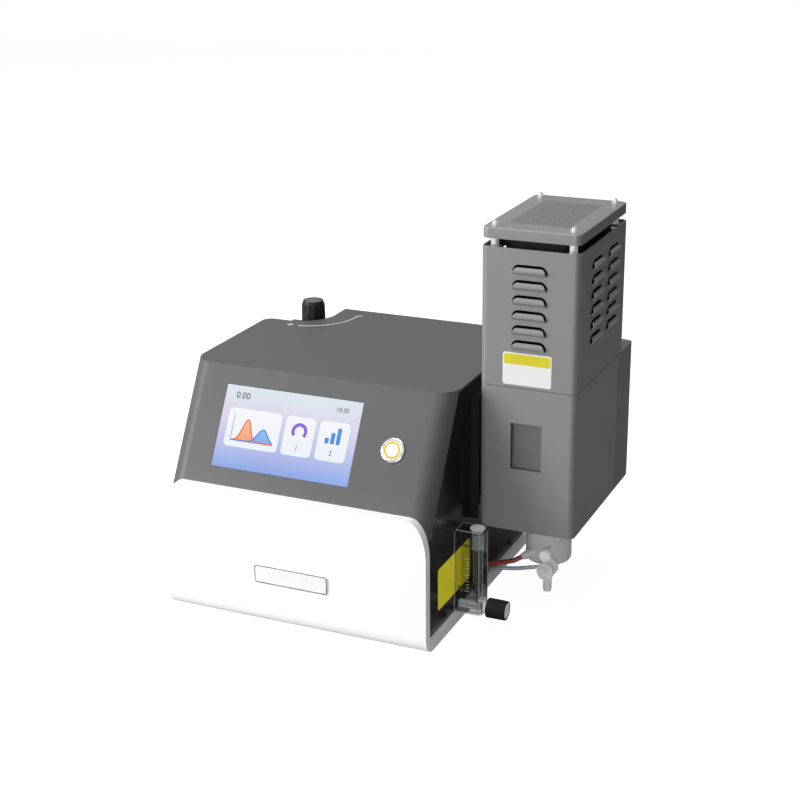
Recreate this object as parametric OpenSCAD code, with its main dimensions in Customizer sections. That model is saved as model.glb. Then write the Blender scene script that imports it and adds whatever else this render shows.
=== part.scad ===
// Bench flame photometer: a sloped console with a touch screen, a burner
// chimney carried on its right-hand side, a flow meter and two hoses.
// X is to the right, Y is to the back, Z is up. The case is laid out from its
// own front left lower corner, and every node is then moved so that the
// origin is the middle of the whole footprint, on the table.

/* [Case] */
// Width of the case
body_w = 293; // [280:1:310]
// Depth of the case
body_d = 299; // [290:1:320]
// Height of the case top above the base plate's underside
body_h = 251.5; // [246:0.5:270]
// Height of the white front panel
front_h = 143.5; // [138:0.5:150]
// How far back the sloped face runs from its foot to its top
slope_run = 61.5; // [54:0.5:66]
// Thickness of the white rim and base plate
rim_t = 10; // [8:0.5:12]
// Outer bend between front panel and base plate
front_bend_r = 18; // [14:1:24]
// Radius of the long edges beside the sloped face
edge_r = 20; // [16:1:24]
// Sheet thickness of the cover
cover_t = 2.5; // [2:0.1:3]
// Width of the rim that the cover turns in beside the slope
cover_rim = 15; // [12:1:17]
// Height of the rubber feet
foot_h = 4; // [3:0.5:6]
// Diameter of the rubber feet
foot_d = 20; // [16:1:26]

/* [Gas corner] */
// How far the gas deck lies below the case top
deck_drop = 20; // [16:1:24]
// Width of the gas deck
deck_w = 67; // [64:1:72]
// Depth of the gas deck, from the back of the case
deck_d = 65; // [62:1:69]
// Radius of the deck's inner corner
deck_r = 39; // [34:1:44]
// Outer diameter of the gas knob at its foot
gas_knob_d = 27; // [24:0.5:30]
// Height of the gas knob
gas_knob_h = 27; // [22:0.5:30]

/* [Console] */
// Width of the display's visible area
screen_w = 154.2; // [150:0.2:158]
// Height of the display's visible area
screen_h = 85.9; // [82:0.1:88]
// Distance of the display from the left edge of the case
screen_x = 47; // [42:1:52]
// Distance of the display from the foot of the slope
screen_s = 18.5; // [16:0.5:24]
// Distance of the start button from the right edge of the case
button_in = 51.5; // [47:0.5:55]
// Distance of the start button from the foot of the slope
button_s = 61.5; // [56:0.5:66]
// Head diameter of the start button's metal collar
button_d = 25.5; // [24:0.5:28]
// Travel of the start button
button_travel = 3; // [2:0.5:4]

/* [Chimney] */
// Gap between the case and the chimney
chimney_gap = 13.5; // [12:0.5:18]
// Width of the chimney
chimney_w = 100; // [96:1:108]
// Distance of the chimney's front from the case front
chimney_y = 105.5; // [100:0.5:110]
// Depth of the heat shield
shield_d = 155.5; // [150:0.5:160]
// Depth of the burner housing
housing_d = 194; // [190:0.5:200]
// Height of the housing's underside
housing_z = 102.5; // [100:0.5:106]
// Height of the seam between housing and heat shield
seam_z = 254; // [250:0.5:258]
// Height of the heat shield's top edge
shield_top = 393.5; // [390:0.5:398]
// Height of the cap's lower edge
cap_z = 401.5; // [399:0.5:404]
// Height of the cap
cap_h = 10.5; // [8:0.5:12]
// Outer corner radius of the chimney sheets
chimney_r = 7; // [5:0.5:9]
// Thickness of the chimney sheets
sheet_t = 1.5; // [1.2:0.1:2]
// Width of the inspection window
window_w = 32; // [28:0.5:36]
// Height of the inspection window
window_h = 49; // [44:0.5:54]
// Width of one louver
louver_w = 35; // [30:1:38]
// Height of one louver
louver_h = 9.5; // [8:0.5:11]
// How far a louver stands out
louver_p = 3.2; // [2.5:0.1:4]
// Width of the cut at both ends of a louver
louver_gap = 1.1; // [0.6:0.1:1.6]
// Height of the opening above a louver's free edge
louver_open = 2.4; // [1.4:0.2:3.2]
// Distance from one louver to the next
louver_pitch = 15; // [13:0.5:16]
// Louvers above each other
louver_rows = 6; // [4:1:7]
// Hole diameter of the cap's perforation
perf_d = 3.2; // [2.5:0.1:3.6]
// Distance from hole to hole of the perforation
perf_pitch = 5.2; // [5:0.1:7]

/* [Burner] */
// Outer radius of the mixing chamber
chamber_r = 24; // [22:0.5:26]
// Height of the mixing chamber's underside
chamber_z = 42.5; // [38:0.5:48]
// Radius of the burner head
burner_r = 13; // [10:0.5:16]
// Height of the burner head's top
burner_top = 168; // [158:1:176]
// Outer diameter of the gas hose
gas_hose_d = 5.2; // [4.5:0.1:6]
// Outer diameter of the air hose
air_hose_d = 4.2; // [3.6:0.1:5]

/* [Flow meter] */
// How far the flow meter's block stands out from the side panel
meter_w = 30; // [28:0.5:34]
// Width of the block along the side panel
meter_d = 20; // [18:0.5:24]
// Height of the block
meter_h = 92; // [86:1:98]
// Distance of the block from the case front
meter_y = 84.7; // [80:0.5:88]
// Radius of the block's bore
meter_bore_r = 4.2; // [3.6:0.1:5]
// Outer diameter of the needle valve's knob
valve_knob_d = 20.6; // [18:0.2:22]
// Length of the needle valve's knob
valve_knob_l = 21; // [18:0.5:24]

/* [Fits] */
// Clearance between neighbouring bodies
gap = 0.3; // [0.2:0.05:0.4]
// Radial clearance of a turning shaft in its bore
run_fit = 0.06; // [0.03:0.01:0.1]

/* [Hidden] */
slope_rise = body_h - front_h;
slope_len = sqrt(slope_run * slope_run + slope_rise * slope_rise);
slope_a = atan(slope_run / slope_rise);
top_y = rim_t + slope_run;
panel_inset = 5;
panel_t = 2.5;
bend_depth = edge_r - sqrt(pow(edge_r - cover_t, 2) - pow(edge_r - panel_inset, 2));
angle_t = 1.5;
base_floor = 3;
right_x = body_w - panel_inset;
left_x = panel_inset;
button_x = body_w - button_in;
board_w = 150;
board_d = 110;
board_x = body_w - 193;
board_y = 70;
deck_y = body_d - deck_d;
deck_z = body_h - deck_drop;
knob_x = deck_w - 27.8;
knob_y = deck_y + deck_r;
valve_neck_r = 5;
gas_stem_r = 3;
button_r = 9;
button_stem_r = 4.6;
barrel_r = 11;
collar_p = 1.8;
collar_seat = 17;
head_back = 3.4;
arc_n = 14;
foot_inset = 26;
foot_front = front_bend_r + foot_d / 2 + 4;

ch_x = body_w + chimney_gap;
ch_cx = ch_x + chimney_w / 2;
ch_y2 = chimney_y + shield_d;
ch_y3 = chimney_y + housing_d;
rear_split = ch_y2 - 15;
cap_in = 0.5;
cap_top = cap_z + cap_h;
stud_in = 10.5;
stud_back = ch_y2 - stud_in - 2;
flame_y = 182;
chamber_top = housing_z + 13.5;
louver_z0 = cap_z - 32.5;
window_x = ch_x + 33;
window_z = housing_z + 66;
recess = 3.5;

meter_x = right_x + gap;
meter_z = rim_t + 0.8;
meter_cy = meter_y + meter_d / 2;
tube_x = meter_x + meter_w - 8.5;
valve_z = meter_z + 6;
valve_x = meter_x + meter_w;

box_y = 128;
box_d = 112;
box_z = housing_z - 4.5;
box_h = 136;
box_w = 9.6;
duct_r = 11;
duct_y = flame_y;
duct_z = 196;

neb_x = ch_cx + 7.5;
neb_z = 59.7;
neb_r = 6;
neb_face = flame_y - 36.5;
elbow_x = ch_cx + 10;
elbow_y = flame_y - 32;
elbow_z = 44.3;
barb_end = 20;
port_a = 245;
port_turn = 212;
port_dip = 22;
port_l = 15;
port_z = 55.5;

stud_head = 4.8;
plate_t = 1.5;
spigot_l = 16;

x_min = 0;
x_max = ch_x + chimney_w + louver_p;
y_min = -plate_t;
y_max = body_d + spigot_l;
origin = [-(x_min + x_max) / 2, -(y_min + y_max) / 2, foot_h];

gas_start = [right_x, 144, 37.5];
air_start = [right_x, 159, 28.4];
port_dir = [cos(port_turn) * cos(port_dip), sin(port_turn) * cos(port_dip), -sin(port_dip)];
port_root = [ch_cx, flame_y, port_z] + (chamber_r - 3) * [cos(port_a), sin(port_a), 0];
gas_end = port_root + port_l * port_dir;
air_end = [elbow_x - 9, elbow_y, elbow_z];

dark = [0.33, 0.33, 0.335];
darker = [0.27, 0.27, 0.275];
black = [0.07, 0.07, 0.075];
white = [0.93, 0.93, 0.93];
steel = [0.78, 0.78, 0.8];
alu = [0.7, 0.71, 0.73];
grey_plastic = [0.62, 0.63, 0.64];
pale_plastic = [0.85, 0.85, 0.86];
yellow = [0.93, 0.85, 0.15];
board_green = [0.1, 0.35, 0.2];

// ---------- helpers ----------

// Moves a piece from the case's own corner to the part's origin
module place() {
    translate(origin) children();
}

// A rectangle w by d with corners of radius r, from its lower left corner
module round_rect(w, d, r) {
    difference() {
        square([w, d]);
        for (sx = [0, 1])
            for (sy = [0, 1])
                translate([sx * w, sy * d])
                    difference() {
                        square(2 * r, center = true);
                        translate([(1 - 2 * sx) * r, (1 - 2 * sy) * r])
                            circle(r, $fn = 48);
                    }
    }
}

// A box w by d by h with round upright edges
module round_box(w, d, h, r) {
    linear_extrude(h) round_rect(w, d, r);
}

// A cylinder along X from x to x + l
module rod_x(x, y, z, l, r, fn = 48) {
    translate([x, y, z]) rotate([0, 90, 0]) cylinder(h = l, r = r, $fn = fn);
}

// A cylinder along Y from y to y + l
module rod_y(x, y, z, l, r, fn = 48) {
    translate([x, y, z]) rotate([-90, 0, 0]) cylinder(h = l, r = r, $fn = fn);
}

// An upright cylinder from z to z + l
module rod_z(x, y, z, l, r, fn = 48) {
    translate([x, y, z]) cylinder(h = l, r = r, $fn = fn);
}

// Children drawn on the slope: X along it, Y into the case, Z up the slope
module on_slope() {
    translate([0, rim_t, front_h]) rotate([-slope_a, 0, 0]) children();
}

// A box from one corner to the other
module span(a, b) {
    translate(a) cube([b[0] - a[0], b[1] - a[1], b[2] - a[2]]);
}

// ---------- case ----------

// Side outline of the case as (y, z), moved in by i
function case_side(i, foot) = [
    [rim_t + i, foot],
    [rim_t + i, front_h + i * (1 - sin(slope_a)) / cos(slope_a) * 0.6],
    [top_y + i * (1 - sin(slope_a)) / cos(slope_a), body_h - i],
    [body_d - i, body_h - i],
    [body_d - i, foot]
];

// The case's outer form moved in by i: the side outline and the round edges
// beside the slope
module case_form(i, foot) {
    intersection() {
        translate([i, 0, 0]) rotate([90, 0, 90])
            linear_extrude(body_w - 2 * i) polygon(case_side(i, foot));
        on_slope() translate([0, 0, -200])
            linear_extrude(700) slope_section(i);
    }
}

// Section across the slope: X across, Y the depth below the sloped face
module slope_section(i) {
    r = edge_r - i;
    difference() {
        translate([i, i]) square([body_w - 2 * i, 600]);
        for (s = [0, 1])
            translate([s * body_w, i])
                difference() {
                    square([2 * edge_r, 2 * r], center = true);
                    translate([(1 - 2 * s) * edge_r, r]) circle(r, $fn = 64);
                }
    }
}

// The corner outline of the front panel, where the round edge of the case
// meets the upright panel: a quarter ellipse as (x, z) from the outer edge
// at its foot to the top edge
function panel_corner(i) = [
    for (k = [0:arc_n])
        let (a = 90 * k / arc_n)
        [edge_r - (edge_r - i) * cos(a),
         front_h - i + (edge_r - i) / sin(slope_a) * (sin(a) - 1)]
];

// Front view of the white shell as (x, z), moved in by i
function front_view(i, foot) = concat(
    [[i, foot]], panel_corner(i),
    [for (k = [0:arc_n]) [body_w - panel_corner(i)[arc_n - k][0], panel_corner(i)[arc_n - k][1]]],
    [[body_w - i, foot]]
);

module front_shell() {
    wall = 3.5;
    color(white) difference() {
        intersection() {
            // bent plate: front panel, round bend, base plate
            rotate([90, 0, 90]) linear_extrude(body_w)
                difference() {
                    square([body_d, front_h]);
                    translate([rim_t, rim_t]) square([body_d, front_h]);
                    difference() {
                        square(front_bend_r);
                        translate([front_bend_r, front_bend_r])
                            circle(front_bend_r, $fn = 64);
                    }
                }
            translate([0, body_d, 0]) rotate([90, 0, 0])
                linear_extrude(body_d) polygon(front_view(0, 0));
        }
        // the panel is a thin wall behind a thick rim
        translate([0, rim_t + 1, 0]) rotate([90, 0, 0])
            linear_extrude(rim_t + 1 - wall)
                intersection() {
                    polygon(front_view(rim_t * 0.6, front_bend_r + 4));
                    translate([0, front_bend_r + 4]) square([body_w, front_h]);
                }
        // and the base plate is hollow from below, inside its rim
        base_pocket();
        for (p = foot_places())
            translate([p[0], p[1], -1]) cylinder(h = rim_t + 2, r = 2.1, $fn = 32);
        for (p = base_screw_places())
            translate([p[0], p[1], -1]) cylinder(h = rim_t + 2, r = 1.7, $fn = 32);
    }
}

// Pocket under the base plate, clear of the feet and the bend
module base_pocket() {
    rim = 9;
    difference() {
        span([rim, foot_front + foot_d / 2 + 8, -1],
             [body_w - rim, body_d - rim, rim_t - base_floor]);
        for (p = foot_places())
            translate([p[0], p[1], -2]) cylinder(h = rim_t, r = foot_d / 2 + 3, $fn = 48);
    }
}

function foot_places() = [
    for (x = [foot_inset, body_w - foot_inset])
        for (y = [foot_front, body_d - foot_inset]) [x, y]
];

// Screws that hold the angle strips to the base plate
function base_screw_places() = [
    for (x = [left_x + 13, right_x - 13])
        for (y = [96, body_d - 80]) [x, y]
];

module nameplate() {
    w = 82;
    h = 19.5;
    color(steel) translate([104.3, 0, 48.4]) rotate([90, 0, 0])
        linear_extrude(plate_t) round_rect(w, h, 3);
}

// Outline of the open gas corner in plan; grow moves its walls outwards
module deck_plan(grow) {
    cx = deck_w - deck_r;
    union() {
        translate([-20, deck_y - grow]) square([20 + cx, body_d + 20 - deck_y]);
        translate([-20, deck_y + deck_r]) square([20 + deck_w + grow, body_d]);
        translate([cx, deck_y + deck_r]) circle(deck_r + grow, $fn = 96);
    }
}

// Round outer corner of the top plate beside the gas deck
module deck_ear(r, grow) {
    translate([-1, deck_y - r])
        difference() {
            square([r + 1, r + 1 - grow]);
            translate([r + 1, 0]) circle(r - grow, $fn = 64);
        }
}

module top_cover() {
    ear = 11;
    color(dark) difference() {
        union() {
            difference() {
                case_form(0, front_h - 22.5);
                case_form(cover_t, front_h - 40);
                // open sides and back below the top plate
                on_slope() translate([-10, cover_rim, -300]) cube([body_w + 20, 500, 700]);
                translate([-10, 0, front_h - 40]) cube([body_w + 20, rim_t + 0.01, 40]);
            }
            top_plate();
            difference() {
                deck_shell();
                span([-10, deck_y - 10, 0], [left_x - gap, body_d + 10, deck_z - 12]);
            }
        }
        // the corner above the deck is open
        translate([0, 0, deck_z]) linear_extrude(60) deck_plan(0);
        translate([0, 0, deck_z]) linear_extrude(60) deck_ear(ear, 0);
        // display window, button hole, valve hole
        on_slope() translate([screen_x, -5, screen_s]) cube([screen_w, 12, screen_h]);
        on_slope() rod_y(button_x, -5, button_s, 12, barrel_r + 0.2);
        rod_z(knob_x, knob_y, deck_z - 10, 20, valve_neck_r + 0.2);
    }
}

module top_plate() {
    intersection() {
        case_form(0, front_h);
        translate([-10, top_y - 5, body_h - cover_t]) cube([body_w + 20, body_d, 10]);
    }
}

// Wall round the gas deck and the deck itself
module deck_shell() {
    intersection() {
        difference() {
            translate([0, 0, deck_z - cover_t]) linear_extrude(deck_drop) deck_plan(cover_t);
            translate([0, 0, deck_z]) linear_extrude(60) deck_plan(0);
        }
        span([0, 0, 0], [body_w, body_d, body_h - cover_t / 2]);
    }
}

// Side panel outline as (y, z)
function panel_side(top, r = 4.5) = [
    for (a = [0:15:90])
        [rim_t + cover_t + 1 + r - r * sin(a), rim_t + gap + r - r * cos(a)],
    [rim_t + cover_t + 1, front_h],
    [top_y + 4, top],
    [body_d - 4, top],
    [body_d - 4, rim_t + gap]
];

module side_panel_right() {
    top = body_h - cover_t - gap;
    color(black) difference() {
        panel_blank(right_x - panel_t, top);
        for (h = [gas_start, air_start])
            rod_x(right_x - 10, h[1], h[2], 20, 4.2);
        rod_x(right_x - 10, duct_y, duct_z, 20, duct_r + 0.6);
        for (p = side_screw_places())
            rod_x(right_x - 10, p[0], p[1], 20, 1.7, 32);
        for (z = meter_port_z())
            rod_x(right_x - 10, meter_cy, z, 20, 3.2);
        for (p = box_screws())
            rod_x(right_x - 10, p[0], p[1], 20, 2.2);
    }
}

module panel_blank(x, top) {
    difference() {
        translate([x, 0, 0]) rotate([90, 0, 90])
            linear_extrude(panel_t) polygon(panel_side(top));
        // clear of the cover's sheet where it bends round beside the slope
        on_slope() translate([-10, -200, -200]) cube([body_w + 20, 200 + bend_depth + gap, 600]);
    }
}

module side_panel_left() {
    top = body_h - cover_t - gap;
    color(black) difference() {
        panel_blank(left_x, top);
        span([-1, deck_y - cover_t - gap, deck_z - cover_t - gap], [20, body_d, 400]);
        for (p = side_screw_places())
            rod_x(left_x - 5, p[0], p[1], 20, 1.7, 32);
        // cooling slots
        for (k = [0:8])
            translate([0, 150 + 10 * k, 60]) cube([20, 4, 60]);
    }
}

module rear_panel() {
    y = body_d - 3.5;
    top = body_h - cover_t - gap;
    color(black) difference() {
        union() {
            span([left_x + panel_t + gap, y, rim_t + gap], [right_x - panel_t - gap, y + panel_t, top]);
            // turned-in edges that take the side screws
            for (x = [left_x + panel_t + gap, right_x - panel_t - gap - 2])
                span([x, y - 12, rim_t + 24], [x + 2, y + 1, deck_z - 30]);
        }
        span([-1, y - 20, deck_z - cover_t - gap], [deck_w + cover_t + gap, y + 20, 400]);
        translate([iec_x(), y - 5, iec_z()]) cube([27.4, 12, 47.4]);
        rod_y(gas_in()[0], y - 5, gas_in()[2], 12, 6.2);
        rod_y(air_in()[0], y - 5, air_in()[2], 12, 5.2);
        for (p = rear_screw_places())
            rod_y(p[0], y - 5, p[1], 12, 1.7, 32);
        for (k = [0:9])
            translate([110 + 9 * k, y - 5, 150]) cube([4, 12, 50]);
    }
}

function iec_x() = body_w - 67;
function iec_z() = 32;
function gas_in() = [44, body_d - 3.5, 60];
function air_in() = [84, body_d - 3.5, 60];

module feet() {
    color(black) for (p = foot_places())
        translate([p[0], p[1], -foot_h]) {
            cylinder(h = foot_h, r = foot_d / 2, $fn = 48);
            cylinder(h = foot_h + 4, r = 1.9, $fn = 32);
        }
}

// Screw with its head's underside at the origin and its shank along -Z
module screw(shank) {
    cylinder(h = 1.9, r = 3, $fn = 32);
    translate([0, 0, -shank]) cylinder(h = shank + 0.01, r = 1.5, $fn = 32);
}

module case_screws() {
    shank = panel_t + angle_t + 2;
    color(steel) {
        for (p = side_screw_places()) {
            translate([right_x, p[0], p[1]]) rotate([0, 90, 0]) screw(shank);
            translate([left_x, p[0], p[1]]) rotate([0, -90, 0]) screw(shank);
        }
        for (p = base_screw_places())
            translate([p[0], p[1], rim_t - base_floor]) rotate([180, 0, 0])
                screw(base_floor + angle_t + 2);
        for (p = rear_screw_places())
            translate([p[0], body_d - 1, p[1]]) rotate([-90, 0, 0]) screw(shank);
    }
}

// Places of the screws along the foot of each side panel as (y, z)
function side_screw_places() = [for (y = [60, 150, 250]) [y, rim_t + 8]];

// Places of the screws in the rear panel as (x, z)
function rear_screw_places() = [for (x = [left_x + 9, right_x - 9]) [x, rim_t + 12]];

// Angle strips on the base plate that take the side and base screws, with an
// upright tab at the back for the rear panel
module base_angles() {
    leg = 16;
    y0 = 46;
    y1 = body_d - 3.5 - gap;
    color(alu) difference() {
        for (s = [0, 1]) {
            inner = s == 0 ? left_x + panel_t : right_x - panel_t;
            dir = s == 0 ? 1 : -1;
            span([min(inner, inner + dir * leg), y0, rim_t],
                 [max(inner, inner + dir * leg), y1, rim_t + angle_t]);
            span([min(inner, inner + dir * angle_t), y0, rim_t],
                 [max(inner, inner + dir * angle_t), y1, rim_t + leg]);
            span([min(inner, inner + dir * leg), y1 - angle_t, rim_t],
                 [max(inner, inner + dir * leg), y1, rim_t + leg + 4]);
        }
        for (p = side_screw_places())
            rod_x(-10, p[0], p[1], body_w + 20, 1.7, 32);
        for (p = base_screw_places())
            rod_z(p[0], p[1], 0, 30, 1.7, 32);
        for (p = rear_screw_places())
            rod_y(p[0], y1 - 10, p[1], 20, 1.7, 32);
        rod_x(right_x - 30, air_start[1], air_start[2], 30, 7);
    }
}

// ---------- console ----------

module touch_screen() {
    bezel = 5;
    color([0.55, 0.66, 0.95]) on_slope() {
        // glass in the window, flush with the cover
        translate([screen_x + 0.2, 0.2, screen_s + 0.2])
            cube([screen_w - 0.4, cover_t, screen_h - 0.4]);
        // display module behind the sheet
        translate([screen_x - bezel, cover_t + 0.02, screen_s - bezel])
            cube([screen_w + 2 * bezel, 6, screen_h + 2 * bezel]);
    }
}

module display_board() {
    color(board_green) on_slope()
        translate([screen_x, cover_t + 6.04, screen_s + 4]) cube([screen_w, 1.6, screen_h - 8]);
}

// Metal collar of the start button: flange outside, threaded barrel inside
module button_collar() {
    back = 7;
    color(steel) on_slope() difference() {
        union() {
            rod_y(button_x, -collar_p, button_s, collar_p, button_d / 2, 64);
            rod_y(button_x, -0.01, button_s, collar_seat + back, barrel_r, 64);
        }
        rod_y(button_x, -collar_p - 1, button_s, collar_p + 1 + collar_seat, button_r, 64);
        rod_y(button_x, 10, button_s, 30, button_stem_r, 48);
    }
}

// Push button: its head guided by the collar, its stem by the collar's back
module ignition_button() {
    proud = 2.6;
    color([0.98, 0.98, 0.9]) on_slope() {
        rod_y(button_x, -proud, button_s, proud + head_back, button_r - run_fit, 64);
        rod_y(button_x, 0, button_s, collar_seat + 5, button_stem_r - run_fit, 48);
    }
}

// Return spring of the button, as short as it is with the button pressed:
// one round wire wound as a helix
module button_spring() {
    turns = 4;
    wire_r = 0.5;
    coil_r = 6.6;
    y0 = head_back + button_travel + gap + wire_r;
    y1 = collar_seat - wire_r - 0.02;
    n = turns * 16;
    color(steel) on_slope() translate([button_x, 0, button_s])
        sweep([for (k = [0:n])
            let (a = 360 * turns * k / n)
            [coil_r * cos(a), y0 + (y1 - y0) * k / n, coil_r * sin(a)]], wire_r, 6, [0, 1, 0]);
}

module button_nut() {
    color(steel) on_slope() difference() {
        rod_y(button_x, cover_t + 0.02, button_s, 4, 14, 6);
        rod_y(button_x, 0, button_s, 30, barrel_r + 0.02, 64);
    }
}

// ---------- gas corner ----------

module gas_valve() {
    color([0.75, 0.62, 0.3]) difference() {
        union() {
            translate([knob_x - 11, knob_y - 11, deck_z - cover_t - 26]) cube([22, 22, 25.98]);
            rod_z(knob_x, knob_y, deck_z - cover_t - 4, cover_t + 8.5, valve_neck_r);
            rod_x(knob_x + 8, knob_y, deck_z - cover_t - 14, 12, 4);
            rod_y(knob_x, knob_y - 22, deck_z - cover_t - 14, 12, 4);
        }
        rod_z(knob_x, knob_y, deck_z - cover_t - 20, 60, gas_stem_r, 48);
    }
}

module gas_valve_nut() {
    color(steel) difference() {
        rod_z(knob_x, knob_y, deck_z, 3, 8.5, 6);
        rod_z(knob_x, knob_y, deck_z - 1, 8, valve_neck_r + 0.02);
    }
}

module gas_stem() {
    color(steel) rod_z(knob_x, knob_y, deck_z - cover_t - 19.5, cover_t + 39.5, gas_stem_r - run_fit);
}

// Gas knob: slightly tapered, with a bevelled top edge and a hollow foot
module gas_knob() {
    r = gas_knob_d / 2;
    z0 = deck_z + 7.5;
    color(black) translate([knob_x, knob_y, z0]) difference() {
        rotate_extrude($fn = 96)
            polygon([[0, 0], [r, 0], [r - 0.7, gas_knob_h - 2.2], [r - 2.4, gas_knob_h],
                     [0, gas_knob_h]]);
        translate([0, 0, -1]) cylinder(h = 5, r = 8.8, $fn = 64);
        translate([0, 0, -1]) cylinder(h = 13.52, r = gas_stem_r - run_fit, $fn = 48);
    }
}

// ---------- inside the case ----------

module main_board() {
    color(board_green) translate([board_x, board_y, rim_t + 18]) {
        cube([board_w, board_d, 1.6]);
        translate([12, 14, 1.6]) cube([30, 30, 4]);
        translate([70, 20, 1.6]) cube([24, 60, 10]);
        translate([114, 14, 1.6]) cube([12, 50, 12]);
        for (k = [0:3]) translate([18 + 12 * k, 80, 1.6]) cylinder(h = 14, r = 4, $fn = 32);
    }
}

module board_pillars() {
    color(steel) for (x = [board_x + 5, board_x + board_w - 5])
        for (y = [board_y + 5, board_y + board_d - 5])
            rod_z(x, y, rim_t, 18, 3, 6);
}

module power_supply() {
    color(alu) translate([body_w - 163, body_d - 94, rim_t]) cube([82, 78, 38]);
}

// Mains inlet and switch in one moulding, with a socket and three flat pins
module iec_inlet() {
    x = iec_x();
    z = iec_z();
    y = body_d - 1;
    color(black) difference() {
        union() {
            translate([x - 2, y, z - 2]) cube([31.4, 2.4, 51.4]);
            translate([x + 0.2, y - 24, z + 0.2]) cube([27, 24.5, 47]);
        }
        // socket
        translate([x + 2.2, y - 15, z + 3]) cube([23, 30, 17]);
        // seat of the rocker
        translate([x + 5.2, y - 12, z + 26]) cube([17, 30, 19]);
    }
    color(steel) for (p = [[x + 6.6, z + 9.5], [x + 12.7, z + 13.5], [x + 18.8, z + 9.5]])
        translate([p[0], y - 15.5, p[1]]) cube([2, 8.5, 4]);
}

// Rocker that tilts about X inside the moulding, with its lower half pressed
// in: switched off
module power_rocker() {
    dish = 1.27;
    half = 7.9;
    tilt = atan(dish / half);
    color(black) translate([iec_x() + 5.6, body_d - 1 - 4.2, iec_z() + 35.5])
        rotate([-tilt, 0, 0]) rotate([90, 0, 90]) linear_extrude(16.2)
            polygon([[-5, -6.5], [6.4, -half], [6.4 - dish, 0], [6.4, half], [-5, 6.5]]);
}

module gas_inlet() {
    color([0.75, 0.62, 0.3]) hose_spigot(gas_in(), 4, 6);
}

module air_inlet() {
    color(steel) hose_spigot(air_in(), 3, 5);
}

// Spigot through the rear panel: a plain hose end, a hexagon and a thread
module hose_spigot(p, r, neck) {
    difference() {
        union() {
            rod_y(p[0], p[1] + panel_t, p[2], spigot_l + 1, r, 64);
            rod_y(p[0], p[1] + panel_t, p[2], 4, neck + 2.5, 6);
            rod_y(p[0], p[1] - 6, p[2], 8.6, neck, 48);
            rod_y(p[0], p[1] - 4, p[2], 4, neck + 2.5, 6);
        }
        rod_y(p[0], p[1] - 30, p[2], 80, r * 0.55, 32);
    }
}

// Optics bolted to the right panel, on the axis of the flame's light
module optics_block() {
    x = right_x - panel_t;
    color(alu) difference() {
        span([x - 62, duct_y - 22, duct_z - 22], [x, duct_y + 22, duct_z + 22]);
        rod_x(x - 58, duct_y, duct_z, 80, duct_r + 0.02, 64);
        rod_x(x - 70, duct_y, duct_z, 30, 5.1, 32);
        span([x - 50, duct_y - 17, duct_z - 17], [x - 38, duct_y + 17, duct_z + 40]);
    }
}

// Lens turned from two equal arcs with a narrow rim between them
module optics_lens() {
    face_r = 26;
    rim = 1.2;
    drop = face_r - sqrt(face_r * face_r - duct_r * duct_r);
    n = 6;
    bulge = [for (k = [0:n]) let (r = duct_r * k / n)
        [r, rim + drop - (face_r - sqrt(face_r * face_r - r * r))]];
    color([0.8, 0.88, 0.95]) translate([right_x - panel_t - 24, duct_y, duct_z])
        rotate([0, 90, 0]) rotate_extrude($fn = 48)
            polygon(concat(bulge, [for (k = [n:-1:0]) [bulge[k][0], -bulge[k][1]]]));
}

module colour_filters() {
    x = right_x - panel_t;
    color([0.9, 0.55, 0.2]) for (k = [0, 1])
        translate([x - 48.5 + 5 * k, duct_y - 15, duct_z - 16.98]) cube([3, 30, 30]);
}

module detector_board() {
    x = right_x - panel_t;
    color(board_green) {
        translate([x - 64, duct_y - 24, duct_z - 24]) cube([1.98, 48, 48]);
        rod_x(x - 62.5, duct_y, duct_z, 7, 5, 32);
    }
}

// ---------- side panel outside ----------

// Screws that hold the channel to the side panel as (y, z)
function box_screws() = [
    for (y = [box_y + 8, box_y + box_d - 8])
        for (z = [box_z + 12, box_z + box_h - 12]) [y, z]
];

// Black channel on the side panel that carries the chimney
module light_box() {
    color(black) difference() {
        span([right_x, box_y, box_z], [right_x + box_w, box_y + box_d, box_z + box_h]);
        span([right_x - 1, box_y + 14, box_z + 24],
             [right_x + box_w - 2.5, duct_y - 20, box_z + box_h - 24]);
        rod_x(right_x - 1, duct_y, duct_z, box_w + 2, duct_r + 0.02, 64);
        for (p = box_screws())
            rod_x(right_x - 1, p[0], p[1], box_w + 2, 1.8, 32);
    }
}

// Spacer between channel and chimney, with the light's bore through it
module optical_duct() {
    color(black) difference() {
        union() {
            span([right_x + box_w, box_y + 20, box_z + 16],
                 [ch_x, box_y + box_d - 16, box_z + box_h - 16]);
        }
        rod_x(right_x - 1, duct_y, duct_z, 60, duct_r - 1, 64);
    }
}

module side_label() {
    color(yellow) translate([right_x, 42.6, 30.5]) rotate([90, 0, 90])
        linear_extrude(0.3) round_rect(86, 45, 3);
}

// ---------- chimney ----------

// Tube of sheet with round corners, from z0 to z1
module sheet_tube(y0, y1, z0, z1) {
    translate([ch_x, y0, z0]) difference() {
        round_box(chimney_w, y1 - y0, z1 - z0, chimney_r);
        translate([sheet_t, sheet_t, -1])
            round_box(chimney_w - 2 * sheet_t, y1 - y0 - 2 * sheet_t, z1 - z0 + 2,
                      chimney_r - sheet_t);
    }
}

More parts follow.
